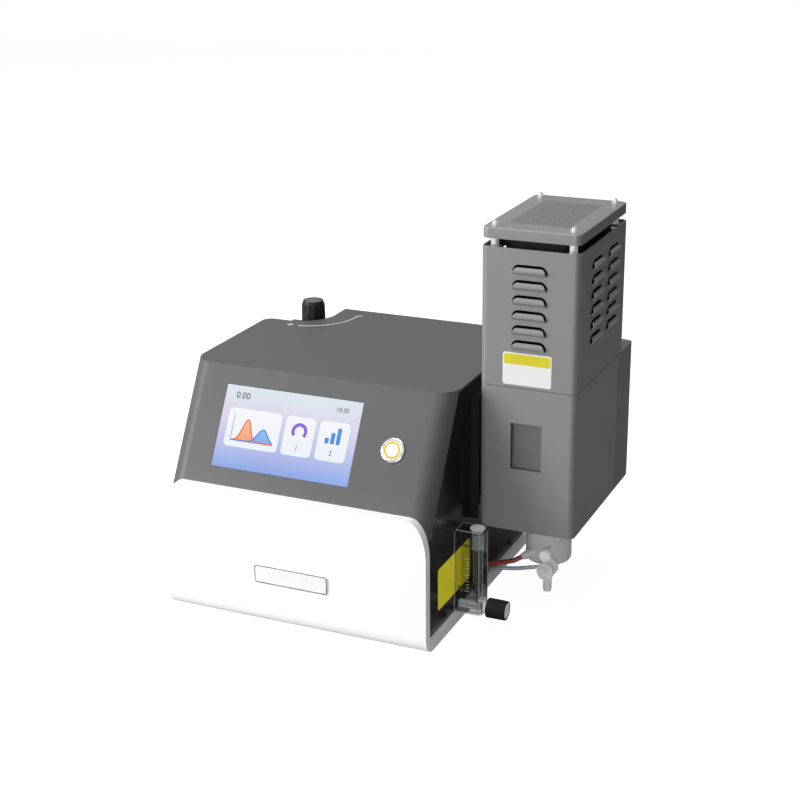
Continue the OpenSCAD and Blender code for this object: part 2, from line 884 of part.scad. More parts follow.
// Front part of the housing, open to the back where the rear part closes it
module burner_housing() {
    seat = 2.5;
    color(dark) difference() {
        union() {
            intersection() {
                sheet_tube(chimney_y, ch_y3, housing_z, seam_z);
                span([0, 0, 0], [600, rear_split, 500]);
            }
            // inner lip that the heat shield slips over
            intersection() {
                translate([ch_x + sheet_t, chimney_y + sheet_t, seam_z - 10]) difference() {
                    round_box(chimney_w - 2 * sheet_t, shield_d, 18, chimney_r - sheet_t);
                    translate([sheet_t, sheet_t, -1])
                        round_box(chimney_w - 4 * sheet_t, shield_d, 20,
                                  chimney_r - 2 * sheet_t);
                }
                span([0, 0, 0], [600, rear_split, seam_z + 6]);
            }
            // frame behind the window
            translate([window_x - 4, chimney_y + 1, window_z - 4])
                cube([window_w + 8, recess + seat - 1, window_h + 8]);
        }
        translate([window_x, chimney_y - 5, window_z]) cube([window_w, 20, window_h]);
        translate([window_x - seat, chimney_y + recess, window_z - seat])
            cube([window_w + 2 * seat, 20, window_h + 2 * seat]);
        rod_x(ch_x - 10, duct_y, duct_z, 30, duct_r - 1, 64);
    }
}

module housing_rear() {
    color(darker) difference() {
        union() {
            intersection() {
                sheet_tube(chimney_y, ch_y3, housing_z, seam_z);
                span([0, rear_split + 0.2, 0], [600, 600, 500]);
            }
            // roof behind the heat shield
            intersection() {
                translate([ch_x, chimney_y, seam_z - 1.99 * sheet_t])
                    round_box(chimney_w, housing_d, 2 * sheet_t, chimney_r);
                span([0, ch_y2 + gap, 0], [600, 600, seam_z]);
            }
            // flanges that reach in behind the front part's edges
            for (x = [ch_x + sheet_t, ch_x + chimney_w - 2 * sheet_t])
                span([x, rear_split - 8, housing_z + 6], [x + sheet_t, rear_split + 4, seam_z - 12]);
            for (x = [ch_x + 0.5, ch_x + chimney_w - sheet_t - 0.5])
                span([x, rear_split + 0.2, housing_z + 6], [x + sheet_t, rear_split + 4, seam_z - 12]);
        }
        // vent slots in the back
        for (k = [0:7])
            translate([ch_x + 18, ch_y3 - 10, housing_z + 20 + 14 * k]) cube([64, 20, 5]);
    }
}

// Bottom plate of the housing with the hole for the mixing chamber
module housing_floor() {
    color(darker) difference() {
        translate([ch_x + sheet_t + 0.15, chimney_y + sheet_t + 0.15, housing_z + 0.4])
            round_box(chimney_w - 2 * sheet_t - 0.3, housing_d - 2 * sheet_t - 0.3, 2,
                      chimney_r - sheet_t);
        translate([ch_cx, flame_y, housing_z - 5]) cylinder(h = 20, r = chamber_r + 0.25, $fn = 96);
        for (k = [0:5])
            translate([ch_x + 20 + 10.5 * k, ch_y3 - 50, housing_z - 5]) cube([5, 34, 20]);
    }
}

module window_glass() {
    seat = 2.5;
    color([0.5, 0.52, 0.55])
        translate([window_x - seat + 0.2, chimney_y + recess + 0.02, window_z - seat + 0.2])
        cube([window_w + 2 * seat - 0.4, 1.6, window_h + 2 * seat - 0.4]);
}

// Clamp frame that holds the glass from behind
module window_clamp() {
    color(steel) difference() {
        translate([window_x - 2.2, chimney_y + recess + 1.66, window_z - 2.2])
            cube([window_w + 4.4, 0.8, window_h + 4.4]);
        translate([window_x + 2, chimney_y, window_z + 2]) cube([window_w - 4, 20, window_h - 4]);
    }
}

// Front view of a louver as (x, z): flat foot, round shoulders
module louver_face(w, h) {
    r = h * 0.72;
    translate([-w / 2, 0]) difference() {
        square([w, h]);
        for (s = [0, 1])
            translate([s * w, h]) difference() {
                square(2 * r, center = true);
                translate([(1 - 2 * s) * r, -r]) circle(r, $fn = 48);
            }
    }
}

// One louver: a strip cut free on three sides, bent out at its foot to -Y and
// back again towards its free upper edge
module louver() {
    h = louver_h - louver_open;
    w = louver_w - 2 * louver_gap;
    p = louver_p;
    t = sheet_t * 0.7;
    section = [
        [0, -0.5], [-p, 0.32 * h], [-p, 0.6 * h], [-0.42 * p, h],
        [-0.42 * p + t, h - 0.5 * t], [t - p, 0.6 * h - 0.25 * t], [t - p, 0.32 * h + 0.4 * t], [t, 0]
    ];
    intersection() {
        translate([-w / 2, 0, 0]) rotate([90, 0, 90]) linear_extrude(w) polygon(section);
        translate([0, sheet_t, -0.6]) rotate([90, 0, 0]) linear_extrude(sheet_t + p + 1)
            louver_face(w, h + 0.6);
    }
}

// Opening that a louver leaves in the sheet
module louver_slot() {
    translate([0, sheet_t + 1, 0]) rotate([90, 0, 0]) linear_extrude(sheet_t + 2)
        louver_face(louver_w, louver_h);
}

// Places a louver on each side of the shield: front and back one column,
// left and right two columns
module louver_sites() {
    cols = [chimney_y + 55.5, chimney_y + 108.5];
    for (k = [0:louver_rows - 1]) {
        z = louver_z0 - louver_pitch * k;
        translate([ch_cx, chimney_y, z]) children();
        translate([ch_cx, ch_y2, z]) rotate([0, 0, 180]) children();
        for (y = cols) {
            translate([ch_x + chimney_w, y, z]) rotate([0, 0, 90]) children();
            translate([ch_x, y, z]) rotate([0, 0, -90]) children();
        }
    }
}

module heat_shield() {
    color(dark) union() {
        difference() {
            sheet_tube(chimney_y, ch_y2, seam_z + 0.5, shield_top);
            louver_sites() louver_slot();
        }
        louver_sites() louver();
    }
}

module shield_label() {
    color([0.96, 0.96, 0.94]) translate([ch_x + 24, chimney_y, seam_z + 3.5]) rotate([90, 0, 0])
        linear_extrude(0.3) round_rect(50, 33, 2.5);
}

function stud_places() = [
    for (x = [ch_x + stud_in, ch_x + chimney_w - stud_in])
        for (y = [chimney_y + stud_in, stud_back]) [x, y]
];

// Corner brackets inside the shield that carry the studs
module shield_brackets() {
    s = 16;
    color(darker) for (p = stud_places()) {
        left = p[0] < ch_cx;
        front = p[1] < flame_y;
        x0 = left ? ch_x + sheet_t : ch_x + chimney_w - sheet_t - s;
        y0 = front ? chimney_y + sheet_t : ch_y2 - sheet_t - s - 2;
        difference() {
            union() {
                translate([x0, y0, shield_top - 4])
                    round_box(s, s + (front ? 0 : 2), 2, chimney_r - sheet_t);
            }
            translate([p[0], p[1], shield_top - 10]) cylinder(h = 20, r = 2.02, $fn = 32);
        }
    }
}

// Stud with its spacer, which holds the cap clear of the shield
module cap_studs() {
    color(steel) for (p = stud_places()) {
        rod_z(p[0], p[1], shield_top - 8, cap_top + stud_head - shield_top + 8, 2, 32);
        rod_z(p[0], p[1], shield_top - 2, cap_top - sheet_t - shield_top + 1.98, 4, 32);
        rod_z(p[0], p[1], shield_top - 7.4, 3.38, 3.5, 6);
    }
}

module cap_plate() {
    w = chimney_w - 2 * cap_in;
    d = shield_d - 2 * cap_in;
    nx = 13;
    ny = 20;
    color(dark) translate([ch_x + cap_in, chimney_y + cap_in, 0]) difference() {
        translate([0, 0, cap_z]) round_box(w, d, cap_h, chimney_r);
        translate([sheet_t, sheet_t, cap_z - 1])
            round_box(w - 2 * sheet_t, d - 2 * sheet_t, cap_h - sheet_t + 1, chimney_r - sheet_t);
        translate([0, 0, cap_top - sheet_t - 1]) linear_extrude(sheet_t + 2)
            for (i = [0:nx - 1])
                for (j = [0:ny - 1])
                    translate([w / 2 + perf_pitch * (i - (nx - 1) / 2),
                               d / 2 + perf_pitch * (j - (ny - 1) / 2)])
                        circle(d = perf_d, $fn = 16);
        for (p = stud_places())
            translate([p[0] - ch_x - cap_in, p[1] - chimney_y - cap_in, cap_top - 5])
                cylinder(h = 10, r = 2.02, $fn = 32);
    }
}

module cap_nuts() {
    color(steel) for (p = stud_places())
        difference() {
            rod_z(p[0], p[1], cap_top, 2.8, 3.7, 6);
            rod_z(p[0], p[1], cap_top - 1, 10, 2.02, 32);
        }
}

// ---------- burner ----------

module burner_head() {
    z0 = chamber_top;
    color([0.72, 0.66, 0.5]) translate([ch_cx, flame_y, 0]) difference() {
        translate([0, 0, z0]) rotate_extrude($fn = 96)
            polygon([[0, 0], [chamber_r, 0], [chamber_r, 4], [burner_r, 14],
                     [burner_r, burner_top - z0 - 2], [burner_r - 2, burner_top - z0],
                     [0, burner_top - z0]]);
        for (k = [0:11])
            rotate([0, 0, 30 * k]) translate([burner_r * 0.6, 0, burner_top - 12])
                cylinder(h = 20, r = 1, $fn = 16);
        translate([0, 0, burner_top - 12]) cylinder(h = 20, r = 3, $fn = 24);
    }
}

// Spark electrode on a ceramic post beside the burner
module igniter() {
    x = ch_cx + chamber_r + 12;
    post = burner_top - housing_z - 8;
    color(pale_plastic) rod_z(x, flame_y, housing_z + 2.4, post, 3, 32);
    color(steel) {
        rod_z(x, flame_y, housing_z + 2.4 + post, 12, 0.8, 16);
        rod_x(ch_cx + burner_r + 2, flame_y, burner_top + 5, chamber_r + 10 - burner_r, 0.8, 16);
    }
}

module mixing_chamber() {
    wall = 2.5;
    h = chamber_top - chamber_z;
    flange = housing_z + 2.4 - chamber_z;
    color(grey_plastic) difference() {
        union() {
            translate([ch_cx, flame_y, chamber_z]) rotate_extrude($fn = 96)
                polygon([[0, 0], [chamber_r - 4, 0], [chamber_r - 1.3, 1.3], [chamber_r, 4],
                         [chamber_r, flange], [chamber_r + 4, flange],
                         [chamber_r + 4, flange + 3], [chamber_r, flange + 3],
                         [chamber_r, h], [0, h]]);
            // boss of the nebuliser
            rod_y(neb_x, neb_face + 6, neb_z, 20, neb_r);
            // rib from the boss up to the collar
            translate([neb_x + 1, flame_y - chamber_r - 4, neb_z]) rotate([0, 25, 0])
                cube([5, 8, 24]);
            // boss of the drain
            rod_y(elbow_x, elbow_y + 7.9, elbow_z + 2, 14, 6.5);
        }
        translate([ch_cx, flame_y, chamber_z + wall])
            cylinder(h = 200, r = chamber_r - wall, $fn = 96);
        rod_y(neb_x, neb_face, neb_z, 40, 5.02);
        rod_y(elbow_x, elbow_y, elbow_z + 2, 30, 2.5, 32);
        port_axis() translate([0, 0, -12]) cylinder(h = 30, r = 2, $fn = 32);
    }
    color(grey_plastic) difference() {
        port_axis() cylinder(h = port_l, r1 = 6.5, r2 = 3.2, $fn = 48);
        port_axis() translate([0, 0, -5]) cylinder(h = 30, r = 2, $fn = 32);
        translate([ch_cx, flame_y, 0]) cylinder(h = 200, r = chamber_r - wall, $fn = 96);
    }
}

// Axis of the gas port on the chamber, pointing out to the left and down
module port_axis() {
    translate(port_root) rotate([0, 0, port_turn]) rotate([0, 90 + port_dip, 0]) children();
}

// Ring under the housing's floor, against the chamber's flange above it
module chamber_collar() {
    color(pale_plastic) translate([ch_cx, flame_y, housing_z - 4.6]) difference() {
        cylinder(h = 4.98, r = chamber_r + 3, $fn = 96);
        translate([0, 0, -1]) cylinder(h = 10, r = chamber_r + 0.02, $fn = 96);
    }
}

module nebuliser() {
    color(pale_plastic) difference() {
        union() {
            rod_y(neb_x, neb_face + 3, neb_z, 26, 5);
            rod_y(neb_x, neb_face + 3, neb_z, 2.98, neb_r);
        }
        rod_y(neb_x, neb_face + 1, neb_z, 40, 1.2, 24);
    }
}

module nebuliser_cap() {
    color(white) difference() {
        rod_y(neb_x, neb_face, neb_z, 2.98, neb_r - 0.5);
        rod_y(neb_x, neb_face - 1, neb_z, 2, 0.8, 24);
    }
}

module drain_elbow() {
    color(grey_plastic) difference() {
        union() {
            rod_y(elbow_x, elbow_y - 12, elbow_z, 19.8, 6.8);
            rod_y(elbow_x, elbow_y + 4.5, elbow_z, 3.38, 9);
            rod_y(elbow_x, elbow_y - 9, elbow_z, 4, 9);
            rod_y(elbow_x, elbow_y - 15, elbow_z, 4, 5.6);
            rod_x(elbow_x - 9, elbow_y, elbow_z, 8, 3.4, 32);
            rod_z(elbow_x, elbow_y, barb_end, elbow_z - barb_end, 4);
            for (z = [barb_end + 1.5, barb_end + 6, barb_end + 10.5])
                translate([elbow_x, elbow_y, z]) cylinder(h = 3, r1 = 4, r2 = 4.9, $fn = 48);
        }
        rod_z(elbow_x, elbow_y, barb_end - 1, elbow_z - barb_end + 2, 2.2, 32);
        rod_y(elbow_x, elbow_y - 20, elbow_z, 24, 1.4, 24);
        rod_y(elbow_x, elbow_y + 2, elbow_z + 2, 20, 2.4, 24);
    }
}

// ---------- hoses ----------

// Closed tube of radius r with the given sides along a list of points
module sweep(pts, r, sides, up = [0, 0, 1]) {
    n = len(pts);
    rings = [for (i = [0:n - 1]) ring_at(pts, i, r, sides, up)];
    verts = [for (ring = rings) for (p = ring) p];
    walls = [for (i = [0:n - 2]) for (k = [0:sides - 1])
        [i * sides + k, i * sides + (k + 1) % sides,
         (i + 1) * sides + (k + 1) % sides, (i + 1) * sides + k]];
    ends = [[for (k = [sides - 1:-1:0]) k], [for (k = [0:sides - 1]) (n - 1) * sides + k]];
    polyhedron(verts, concat(walls, ends), convexity = 4);
}

function unit(v) = v / norm(v);

function ring_at(pts, i, r, sides, up) =
    let (n = len(pts),
         t = unit(pts[min(i + 1, n - 1)] - pts[max(i - 1, 0)]),
         u = unit(cross(t, up)),
         v = cross(u, t))
    [for (k = [0:sides - 1]) pts[i] + r * (cos(360 * k / sides) * u - sin(360 * k / sides) * v)];

// Catmull-Rom curve through the chosen points, m steps a stretch
function smooth(p, m) = concat(
    [for (i = [0:len(p) - 2]) for (k = [0:m - 1])
        let (t = k / m,
             a = p[max(i - 1, 0)], b = p[i], c = p[i + 1], d = p[min(i + 2, len(p) - 1)])
        0.5 * (2 * b + (c - a) * t + (2 * a - 5 * b + 4 * c - d) * t * t
               + (3 * b - a - 3 * c + d) * t * t * t)],
    [p[len(p) - 1]]);

// Route of the gas hose from its fitting on the side panel to the chamber
gas_route = [
    gas_start + [6, 0, 0], gas_start + [8.5, 0, 0], gas_start + [13, 1.7, 1.5],
    gas_start + [20, 4, 3.1], gas_start + [30, 5.6, 5.7],
    gas_end + 9 * port_dir, gas_end + 4 * port_dir, gas_end
];

// Route of the air hose from its fitting to the side of the drain elbow
air_route = [
    air_start + [6, 0, 0], air_start + [8.5, 0, 0], air_start + [13, -1.3, 1.8],
    air_start + [20, -4, 4.4], air_start + [31, -7, 7.2],
    air_end + [-26.5, 0.5, -6.1], air_end + [-13.5, 0, -2.7], air_end + [-4, 0, -0.1],
    air_end - [0.15, 0, 0]
];

module gas_hose() {
    color([0.55, 0.16, 0.12]) sweep(smooth(gas_route, 4), gas_hose_d / 2, 12);
}

module air_hose() {
    color([0.86, 0.88, 0.9]) sweep(smooth(air_route, 4), air_hose_d / 2, 12);
}

// Bulkhead fittings of the two hoses
module hose_fittings() {
    color(steel) for (p = [gas_start, air_start])
        difference() {
            union() {
                rod_x(p[0] - panel_t - 6, p[1], p[2], 11.6 + panel_t, 4.15, 32);
                rod_x(p[0], p[1], p[2], 4, 6, 6);
                rod_x(p[0] - panel_t - 3.02, p[1], p[2], 3, 6, 6);
            }
            rod_x(p[0] - 20, p[1], p[2], 40, 1.4, 24);
        }
}

// ---------- flow meter ----------

function meter_port_z() = [meter_z + 24, meter_z + 71];

// Clear block with an upright bore, two ports to the panel and a valve seat
module flow_block() {
    color([0.8, 0.85, 0.88]) difference() {
        translate([meter_x, meter_y, meter_z]) meter_blank();
        rod_z(tube_x, meter_cy, meter_z + 22, meter_h, meter_bore_r);
        rod_z(tube_x, meter_cy, meter_z + meter_h - 22, 40, 6.02);
        for (z = meter_port_z())
            rod_x(meter_x - 5, meter_cy, z, tube_x - meter_x + 5, 1.6, 32);
        rod_x(valve_x - 22, meter_cy, valve_z, 40, 3 + 0, 48);
        rod_z(tube_x, meter_cy, valve_z, 18, 1.6, 32);
    }
}

// Block with its outer upright edges and its foot bevelled
module meter_blank() {
    c = 3;
    intersection() {
        linear_extrude(meter_h)
            polygon([[0, 0], [meter_w - c, 0], [meter_w, c], [meter_w, meter_d - c],
                     [meter_w - c, meter_d], [0, meter_d]]);
        translate([0, meter_d, 0]) rotate([90, 0, 0]) linear_extrude(meter_d)
            polygon([[0, 0], [meter_w, 0], [meter_w, meter_h - 2], [meter_w - 2, meter_h],
                     [2, meter_h], [0, meter_h - 2]]);
    }
}

module flow_plug() {
    z = meter_z + meter_h;
    color(alu) difference() {
        union() {
            rod_z(tube_x, meter_cy, z - 21.98, 22, 6);
            rod_z(tube_x, meter_cy, z, 1.5, 7.5);
        }
        span([tube_x - 10, meter_cy - 0.7, z + 0.5], [tube_x + 10, meter_cy + 0.7, z + 5]);
        rod_z(tube_x, meter_cy, z - 30, 18, 2.5, 32);
    }
}

// Float: a cone on a short stem, resting at the foot of the bore
module flow_float() {
    color([0.15, 0.15, 0.16]) translate([tube_x, meter_cy, meter_z + 22.1])
        rotate_extrude($fn = 48)
            polygon([[0, 0], [1.2, 0], [1.6, 4], [meter_bore_r - 0.35, 6.2],
                     [meter_bore_r - 0.35, 8], [0, 8]]);
}

module valve_ferrule() {
    color(white) difference() {
        union() {
            rod_x(valve_x + 0.02, meter_cy, valve_z, 3, 5.6);
            rod_x(valve_x - 10, meter_cy, valve_z, 10.1, 2.98);
        }
        rod_x(valve_x - 30, meter_cy, valve_z, 60, 1.5, 32);
    }
}

module valve_needle() {
    color(steel) {
        rod_x(valve_x - 17, meter_cy, valve_z, 30, 1.5 - run_fit, 32);
    }
}

// Knob of the needle valve: black grip with a pale end disc
module valve_knob() {
    r = valve_knob_d / 2;
    x = valve_x + 3 + gap + 0.1;
    color(black) difference() {
        translate([x, meter_cy, valve_z]) rotate([0, 90, 0]) rotate_extrude($fn = 96)
            polygon([[0, 0], [r - 1, 0], [r, 1], [r - 0.2, valve_knob_l - 1],
                     [r - 1, valve_knob_l], [0, valve_knob_l]]);
        rod_x(x - 1, meter_cy, valve_z, 11, 1.5 - run_fit, 32);
    }
}

// ---------- the part ----------

place() {
    front_shell();
    nameplate();
    top_cover();
    side_panel_right();
    side_panel_left();
    rear_panel();
    base_angles();
    feet();
    case_screws();
    touch_screen();
    display_board();
    button_collar();
    ignition_button();
    button_spring();
    button_nut();
    gas_valve();
    gas_valve_nut();
    gas_stem();
    gas_knob();
    main_board();
    board_pillars();
    power_supply();
    iec_inlet();
    power_rocker();
    gas_inlet();
    air_inlet();
    optics_block();
    optics_lens();
    colour_filters();
    detector_board();
    light_box();
    optical_duct();
    side_label();
    burner_housing();
    housing_rear();
    housing_floor();
    window_glass();
    window_clamp();
    heat_shield();
    shield_label();
    shield_brackets();
    cap_studs();
    cap_plate();
    cap_nuts();
    burner_head();
    igniter();
    mixing_chamber();
    chamber_collar();
    nebuliser();
    nebuliser_cap();
    drain_elbow();
    gas_hose();
    air_hose();
    hose_fittings();
    flow_block();
    flow_plug();
    flow_float();
    valve_ferrule();
    valve_needle();
    valve_knob();
}
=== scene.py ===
"""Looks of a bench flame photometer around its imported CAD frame.

Each operator makes one piece, or one group of like pieces, as numpy grids of
points, gives it a procedural material and lets it ride on its CAD body.
Lengths are written in millimetres in the case's own coordinates: x from the
left edge of the case, y from the white front to the back, z from the
underside of the base plate.
"""
import math

import bmesh
import bpy
import numpy as np
from bpy.props import FloatProperty, FloatVectorProperty, IntProperty, PointerProperty
from mathutils import Matrix, Vector


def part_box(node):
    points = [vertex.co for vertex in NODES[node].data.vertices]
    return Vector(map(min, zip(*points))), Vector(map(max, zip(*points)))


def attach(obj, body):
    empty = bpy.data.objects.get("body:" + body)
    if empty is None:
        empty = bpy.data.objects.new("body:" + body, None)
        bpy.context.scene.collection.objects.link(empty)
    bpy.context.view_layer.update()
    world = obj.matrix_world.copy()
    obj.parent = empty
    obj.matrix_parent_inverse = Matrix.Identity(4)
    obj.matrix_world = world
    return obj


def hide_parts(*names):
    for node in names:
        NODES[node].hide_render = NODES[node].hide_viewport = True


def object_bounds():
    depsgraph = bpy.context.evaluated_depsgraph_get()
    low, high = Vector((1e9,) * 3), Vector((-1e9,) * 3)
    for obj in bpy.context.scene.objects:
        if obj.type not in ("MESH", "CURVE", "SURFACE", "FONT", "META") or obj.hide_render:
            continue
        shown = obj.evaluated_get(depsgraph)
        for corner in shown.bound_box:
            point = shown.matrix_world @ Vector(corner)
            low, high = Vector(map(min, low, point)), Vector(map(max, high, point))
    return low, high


bl_info = {
    "name": "Bench Flame Photometer",
    "version": (1, 0, 0),
    "blender": (4, 5, 0),
    "location": "3D View > Sidebar > Photometer",
    "description": "Finishes, prints and fine pieces of a bench flame photometer",
    "category": "Object",
}

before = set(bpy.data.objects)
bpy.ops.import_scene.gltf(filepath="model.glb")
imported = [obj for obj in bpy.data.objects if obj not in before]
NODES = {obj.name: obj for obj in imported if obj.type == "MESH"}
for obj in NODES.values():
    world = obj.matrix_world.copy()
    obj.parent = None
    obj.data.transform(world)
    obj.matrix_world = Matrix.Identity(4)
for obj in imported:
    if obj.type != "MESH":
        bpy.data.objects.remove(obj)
cad_bounds = [list(v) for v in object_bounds()]

MM = 0.001
CASE = np.array(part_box("front_shell")[0])
FULL_TURN = 2 * math.pi


def in_case(node):
    """Lowest and highest corner of a CAD node, in the case's millimetres."""
    low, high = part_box(node)
    return (np.array(low) - CASE) / MM, (np.array(high) - CASE) / MM


def middle_of(node):
    """Middle of a CAD node, in the case's millimetres."""
    return sum(in_case(node)) / 2


# The sloped face: where it starts and how far it leans back
RIM = 10.0
FRONT_H = 143.5
SLOPE = math.atan2(61.5, 108.0)
CASE_TOP = in_case("top_cover")[1][2]
SIDE_X = in_case("side_panel_right")[1][0]


def linear(red, green, blue):
    """The linear colour of display values from 0 to 255."""
    values = np.array([red, green, blue]) / 255.0
    low = values / 12.92
    high = ((values + 0.055) / 1.055) ** 2.4
    return tuple(float(v) for v in np.where(values <= 0.04045, low, high))


# ---------- places ----------


def at(x, y, z):
    """Points in the case's millimetres as points of the frame, in metres."""
    return np.stack(np.broadcast_arrays(x, y, z), -1).astype(float) * MM + CASE


def on_slope(u, v, w):
    """u across the sloped face, v up it, w out of it.

    The face starts at the rim and leans back by SLOPE, so a step up it is
    (0, sin, cos) and a step out of it is (0, -cos, sin).
    """
    s, c = math.sin(SLOPE), math.cos(SLOPE)
    return at(u, RIM + v * s - w * c, FRONT_H + v * c + w * s)


def on_top(u, v, w):
    """u to the right and v to the back on the case's top, w above it."""
    return at(u, v, CASE_TOP + w)


def on_front(y):
    """Places on an upright plane at y: u to the right, v up, w to the viewer."""
    return lambda u, v, w: at(u, y - w, v)


def on_back(y):
    """Places on an upright plane at y seen from behind: u along X, w backwards."""
    return lambda u, v, w: at(u, y + w, v)


def around(centre, axis):
    """Places round an axis through centre: (a, b) across it, w along it."""
    axis = np.array(axis, float)
    helper = np.array([0.0, 0.0, 1.0]) if abs(axis[2]) < 0.9 else np.array([0.0, 1.0, 0.0])
    first = np.cross(helper, axis)
    first /= np.linalg.norm(first)
    second = np.cross(axis, first)

    def place(a, b, w):
        a, b, w = np.broadcast_arrays(a, b, w)
        offset = a[..., None] * first + b[..., None] * second + w[..., None] * axis
        return (np.array(centre) + offset) * MM + CASE

    return place


def slope_axis(u, v):
    """Places round an axis that stands on the sloped face at (u, v)."""
    return lambda a, b, w: on_slope(u + a, v + b, w)


# ---------- meshes ----------


class Shell:
    """Grids of points and flat faces that become one mesh."""

    def __init__(self):
        self.points = []
        self.faces = []
        self.count = 0

    def _add(self, points):
        start = self.count
        points = points.reshape(-1, 3)
        self.points.append(points)
        self.count += len(points)
        return start

    def grid(self, points, wrap_rows=False, wrap_cols=False):
        """A sheet of quads over a grid: point (i, j) joins (i + 1, j + 1)."""
        rows, cols = points.shape[:2]
        start = self._add(points)
        i, j = np.meshgrid(
            np.arange(rows if wrap_rows else rows - 1),
            np.arange(cols if wrap_cols else cols - 1),
            indexing="ij",
        )
        i2, j2 = (i + 1) % rows, (j + 1) % cols
        quads = np.stack([i * cols + j, i * cols + j2, i2 * cols + j2, i2 * cols + j], -1)
        self.faces.extend((quads.reshape(-1, 4) + start).tolist())
        return self

    def face(self, points):
        """One flat face with these corners in turn."""
        start = self._add(points)
        self.faces.append(list(range(start, start + len(points))))
        return self

    def prism(self, outline, place, low, high):
        """A plate: the outline at heights low and high, joined at its edge."""
        u, v = outline[:, 0], outline[:, 1]
        rings = np.stack([place(u, v, low), place(u, v, high)])
        self.grid(rings, wrap_cols=True)
        self.face(rings[0][::-1])
        return self.face(rings[1])

    def ribbon(self, path, width, place, low, high, closed=False):
        """A flat line of even width along a path.

        Each point is moved half the width to both sides, at a right angle to
        the direction from its neighbour before to its neighbour after.
        """
        if closed:
            step = np.roll(path, -1, 0) - np.roll(path, 1, 0)
        else:
            step = np.gradient(path, axis=0)
        step /= np.linalg.norm(step, axis=1)[:, None]
        side = np.stack([-step[:, 1], step[:, 0]], -1) * width / 2
        left, right = path + side, path - side
        corners = [(left, low), (left, high), (right, high), (right, low)]
        rings = np.stack([place(p[:, 0], p[:, 1], w) for p, w in corners], 1)
        self.grid(rings, wrap_rows=closed, wrap_cols=True)
        if not closed:
            self.face(rings[0][::-1])
            self.face(rings[-1])
        return self

    def lathe(self, profile, place, sides=96, flute=None):
        """A turned shape: radius and height of the profile carried round.

        flute(angle, row) may give a factor for the radius, so that a grip is
        faceted or a pocket is a hexagon.
        """
        radius, height = profile[:, 0], profile[:, 1]
        angle = np.arange(sides) * FULL_TURN / sides
        r = np.repeat(radius[:, None], sides, 1)
        if flute is not None:
            r = r * flute(angle[None, :], np.arange(len(radius))[:, None])
        rings = place(r * np.cos(angle), r * np.sin(angle), height[:, None])
        return self.grid(rings, wrap_cols=True)


def build(name, shell, material, body="case", slot=None, replaces=(), crease=32):
    """Makes the mesh of a shell: doubles merged, faces outwards, smooth but
    for edges sharper than crease degrees; then it rides on its body."""
    mesh = bpy.data.meshes.new(name)
    mesh.from_pydata(np.concatenate(shell.points).tolist(), [], shell.faces)
    work = bmesh.new()
    work.from_mesh(mesh)
    bmesh.ops.remove_doubles(work, verts=work.verts, dist=2e-6)
    bmesh.ops.dissolve_degenerate(work, dist=1e-7, edges=work.edges)
    bmesh.ops.recalc_face_normals(work, faces=work.faces)
    work.to_mesh(mesh)
    work.free()
    mesh.polygons.foreach_set("use_smooth", np.ones(len(mesh.polygons), bool))
    mesh.set_sharp_from_angle(angle=math.radians(crease))
    mesh.materials.append(material)
    obj = bpy.data.objects.new(name, mesh)
    bpy.context.scene.collection.objects.link(obj)
    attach(obj, body)
    if replaces:
        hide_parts(*replaces)
    return obj


def rounded(x0, y0, x1, y1, r, steps=8):
    """Outline of a rectangle with corners of radius r, anticlockwise."""
    turn = np.linspace(0, math.pi / 2, steps + 1)
    corners = [
        (x1 - r, y0 + r, -math.pi / 2),
        (x1 - r, y1 - r, 0),
        (x0 + r, y1 - r, math.pi / 2),
        (x0 + r, y0 + r, math.pi),
    ]
    return np.concatenate([
        np.stack([cx + r * np.cos(turn + a), cy + r * np.sin(turn + a)], -1)
        for cx, cy, a in corners
    ])


def ring_path(x, y, r, start=0.0, end=360.0, steps=96):
    """Points on a circle or an arc round (x, y), angles in degrees."""
    turn = np.radians(np.linspace(start, end, steps))
    return np.stack([x + r * np.cos(turn), y + r * np.sin(turn)], -1)


def circle(x, y, r, steps=96):
    """Points of a closed circle round (x, y)."""
    return ring_path(x, y, r, 0, 360 * (steps - 1) / steps, steps)


def numerals(text, height, centre, place, low, high):
    """Plain figures, set flat on a surface and as thick as high - low. Every
    edge of their flat faces gets a wall, once."""
    cap_height = 0.7  # of the built-in font, at size 1
    curve = bpy.data.curves.new("figures", "FONT")
    curve.body = text
    curve.align_x = curve.align_y = "CENTER"
    curve.resolution_u = 4
    holder = bpy.data.objects.new("figures", curve)
    bpy.context.scene.collection.objects.link(holder)
    bpy.context.view_layer.update()
    depsgraph = bpy.context.evaluated_depsgraph_get()
    flat = bpy.data.meshes.new_from_object(holder.evaluated_get(depsgraph))
    co = np.zeros(len(flat.vertices) * 3)
    flat.vertices.foreach_get("co", co)
    co = co.reshape(-1, 3)[:, :2] * height / cap_height + np.array(centre)
    faces = [list(p.vertices) for p in flat.polygons]
    edges = {}
    for face in faces:
        for a, b in zip(face, face[1:] + face[:1]):
            edges.pop((b, a), None)
            edges[(a, b)] = True
    n = len(co)
    shell = Shell()
    shell.points = [place(co[:, 0], co[:, 1], w) for w in (high, low)]
    shell.count = 2 * n
    shell.faces = faces + [[i + n for i in reversed(f)] for f in faces]
    shell.faces += [[b, a, a + n, b + n] for a, b in edges]
    bpy.data.objects.remove(holder)
    bpy.data.meshes.remove(flat)
    bpy.data.curves.remove(curve)
    return shell


def join(*shells):
    """One shell with everything that the given shells hold."""
    whole = Shell()
    for shell in shells:
        whole.faces.extend([[i + whole.count for i in f] for f in shell.faces])
        whole.points.extend(shell.points)
        whole.count += shell.count
    return whole


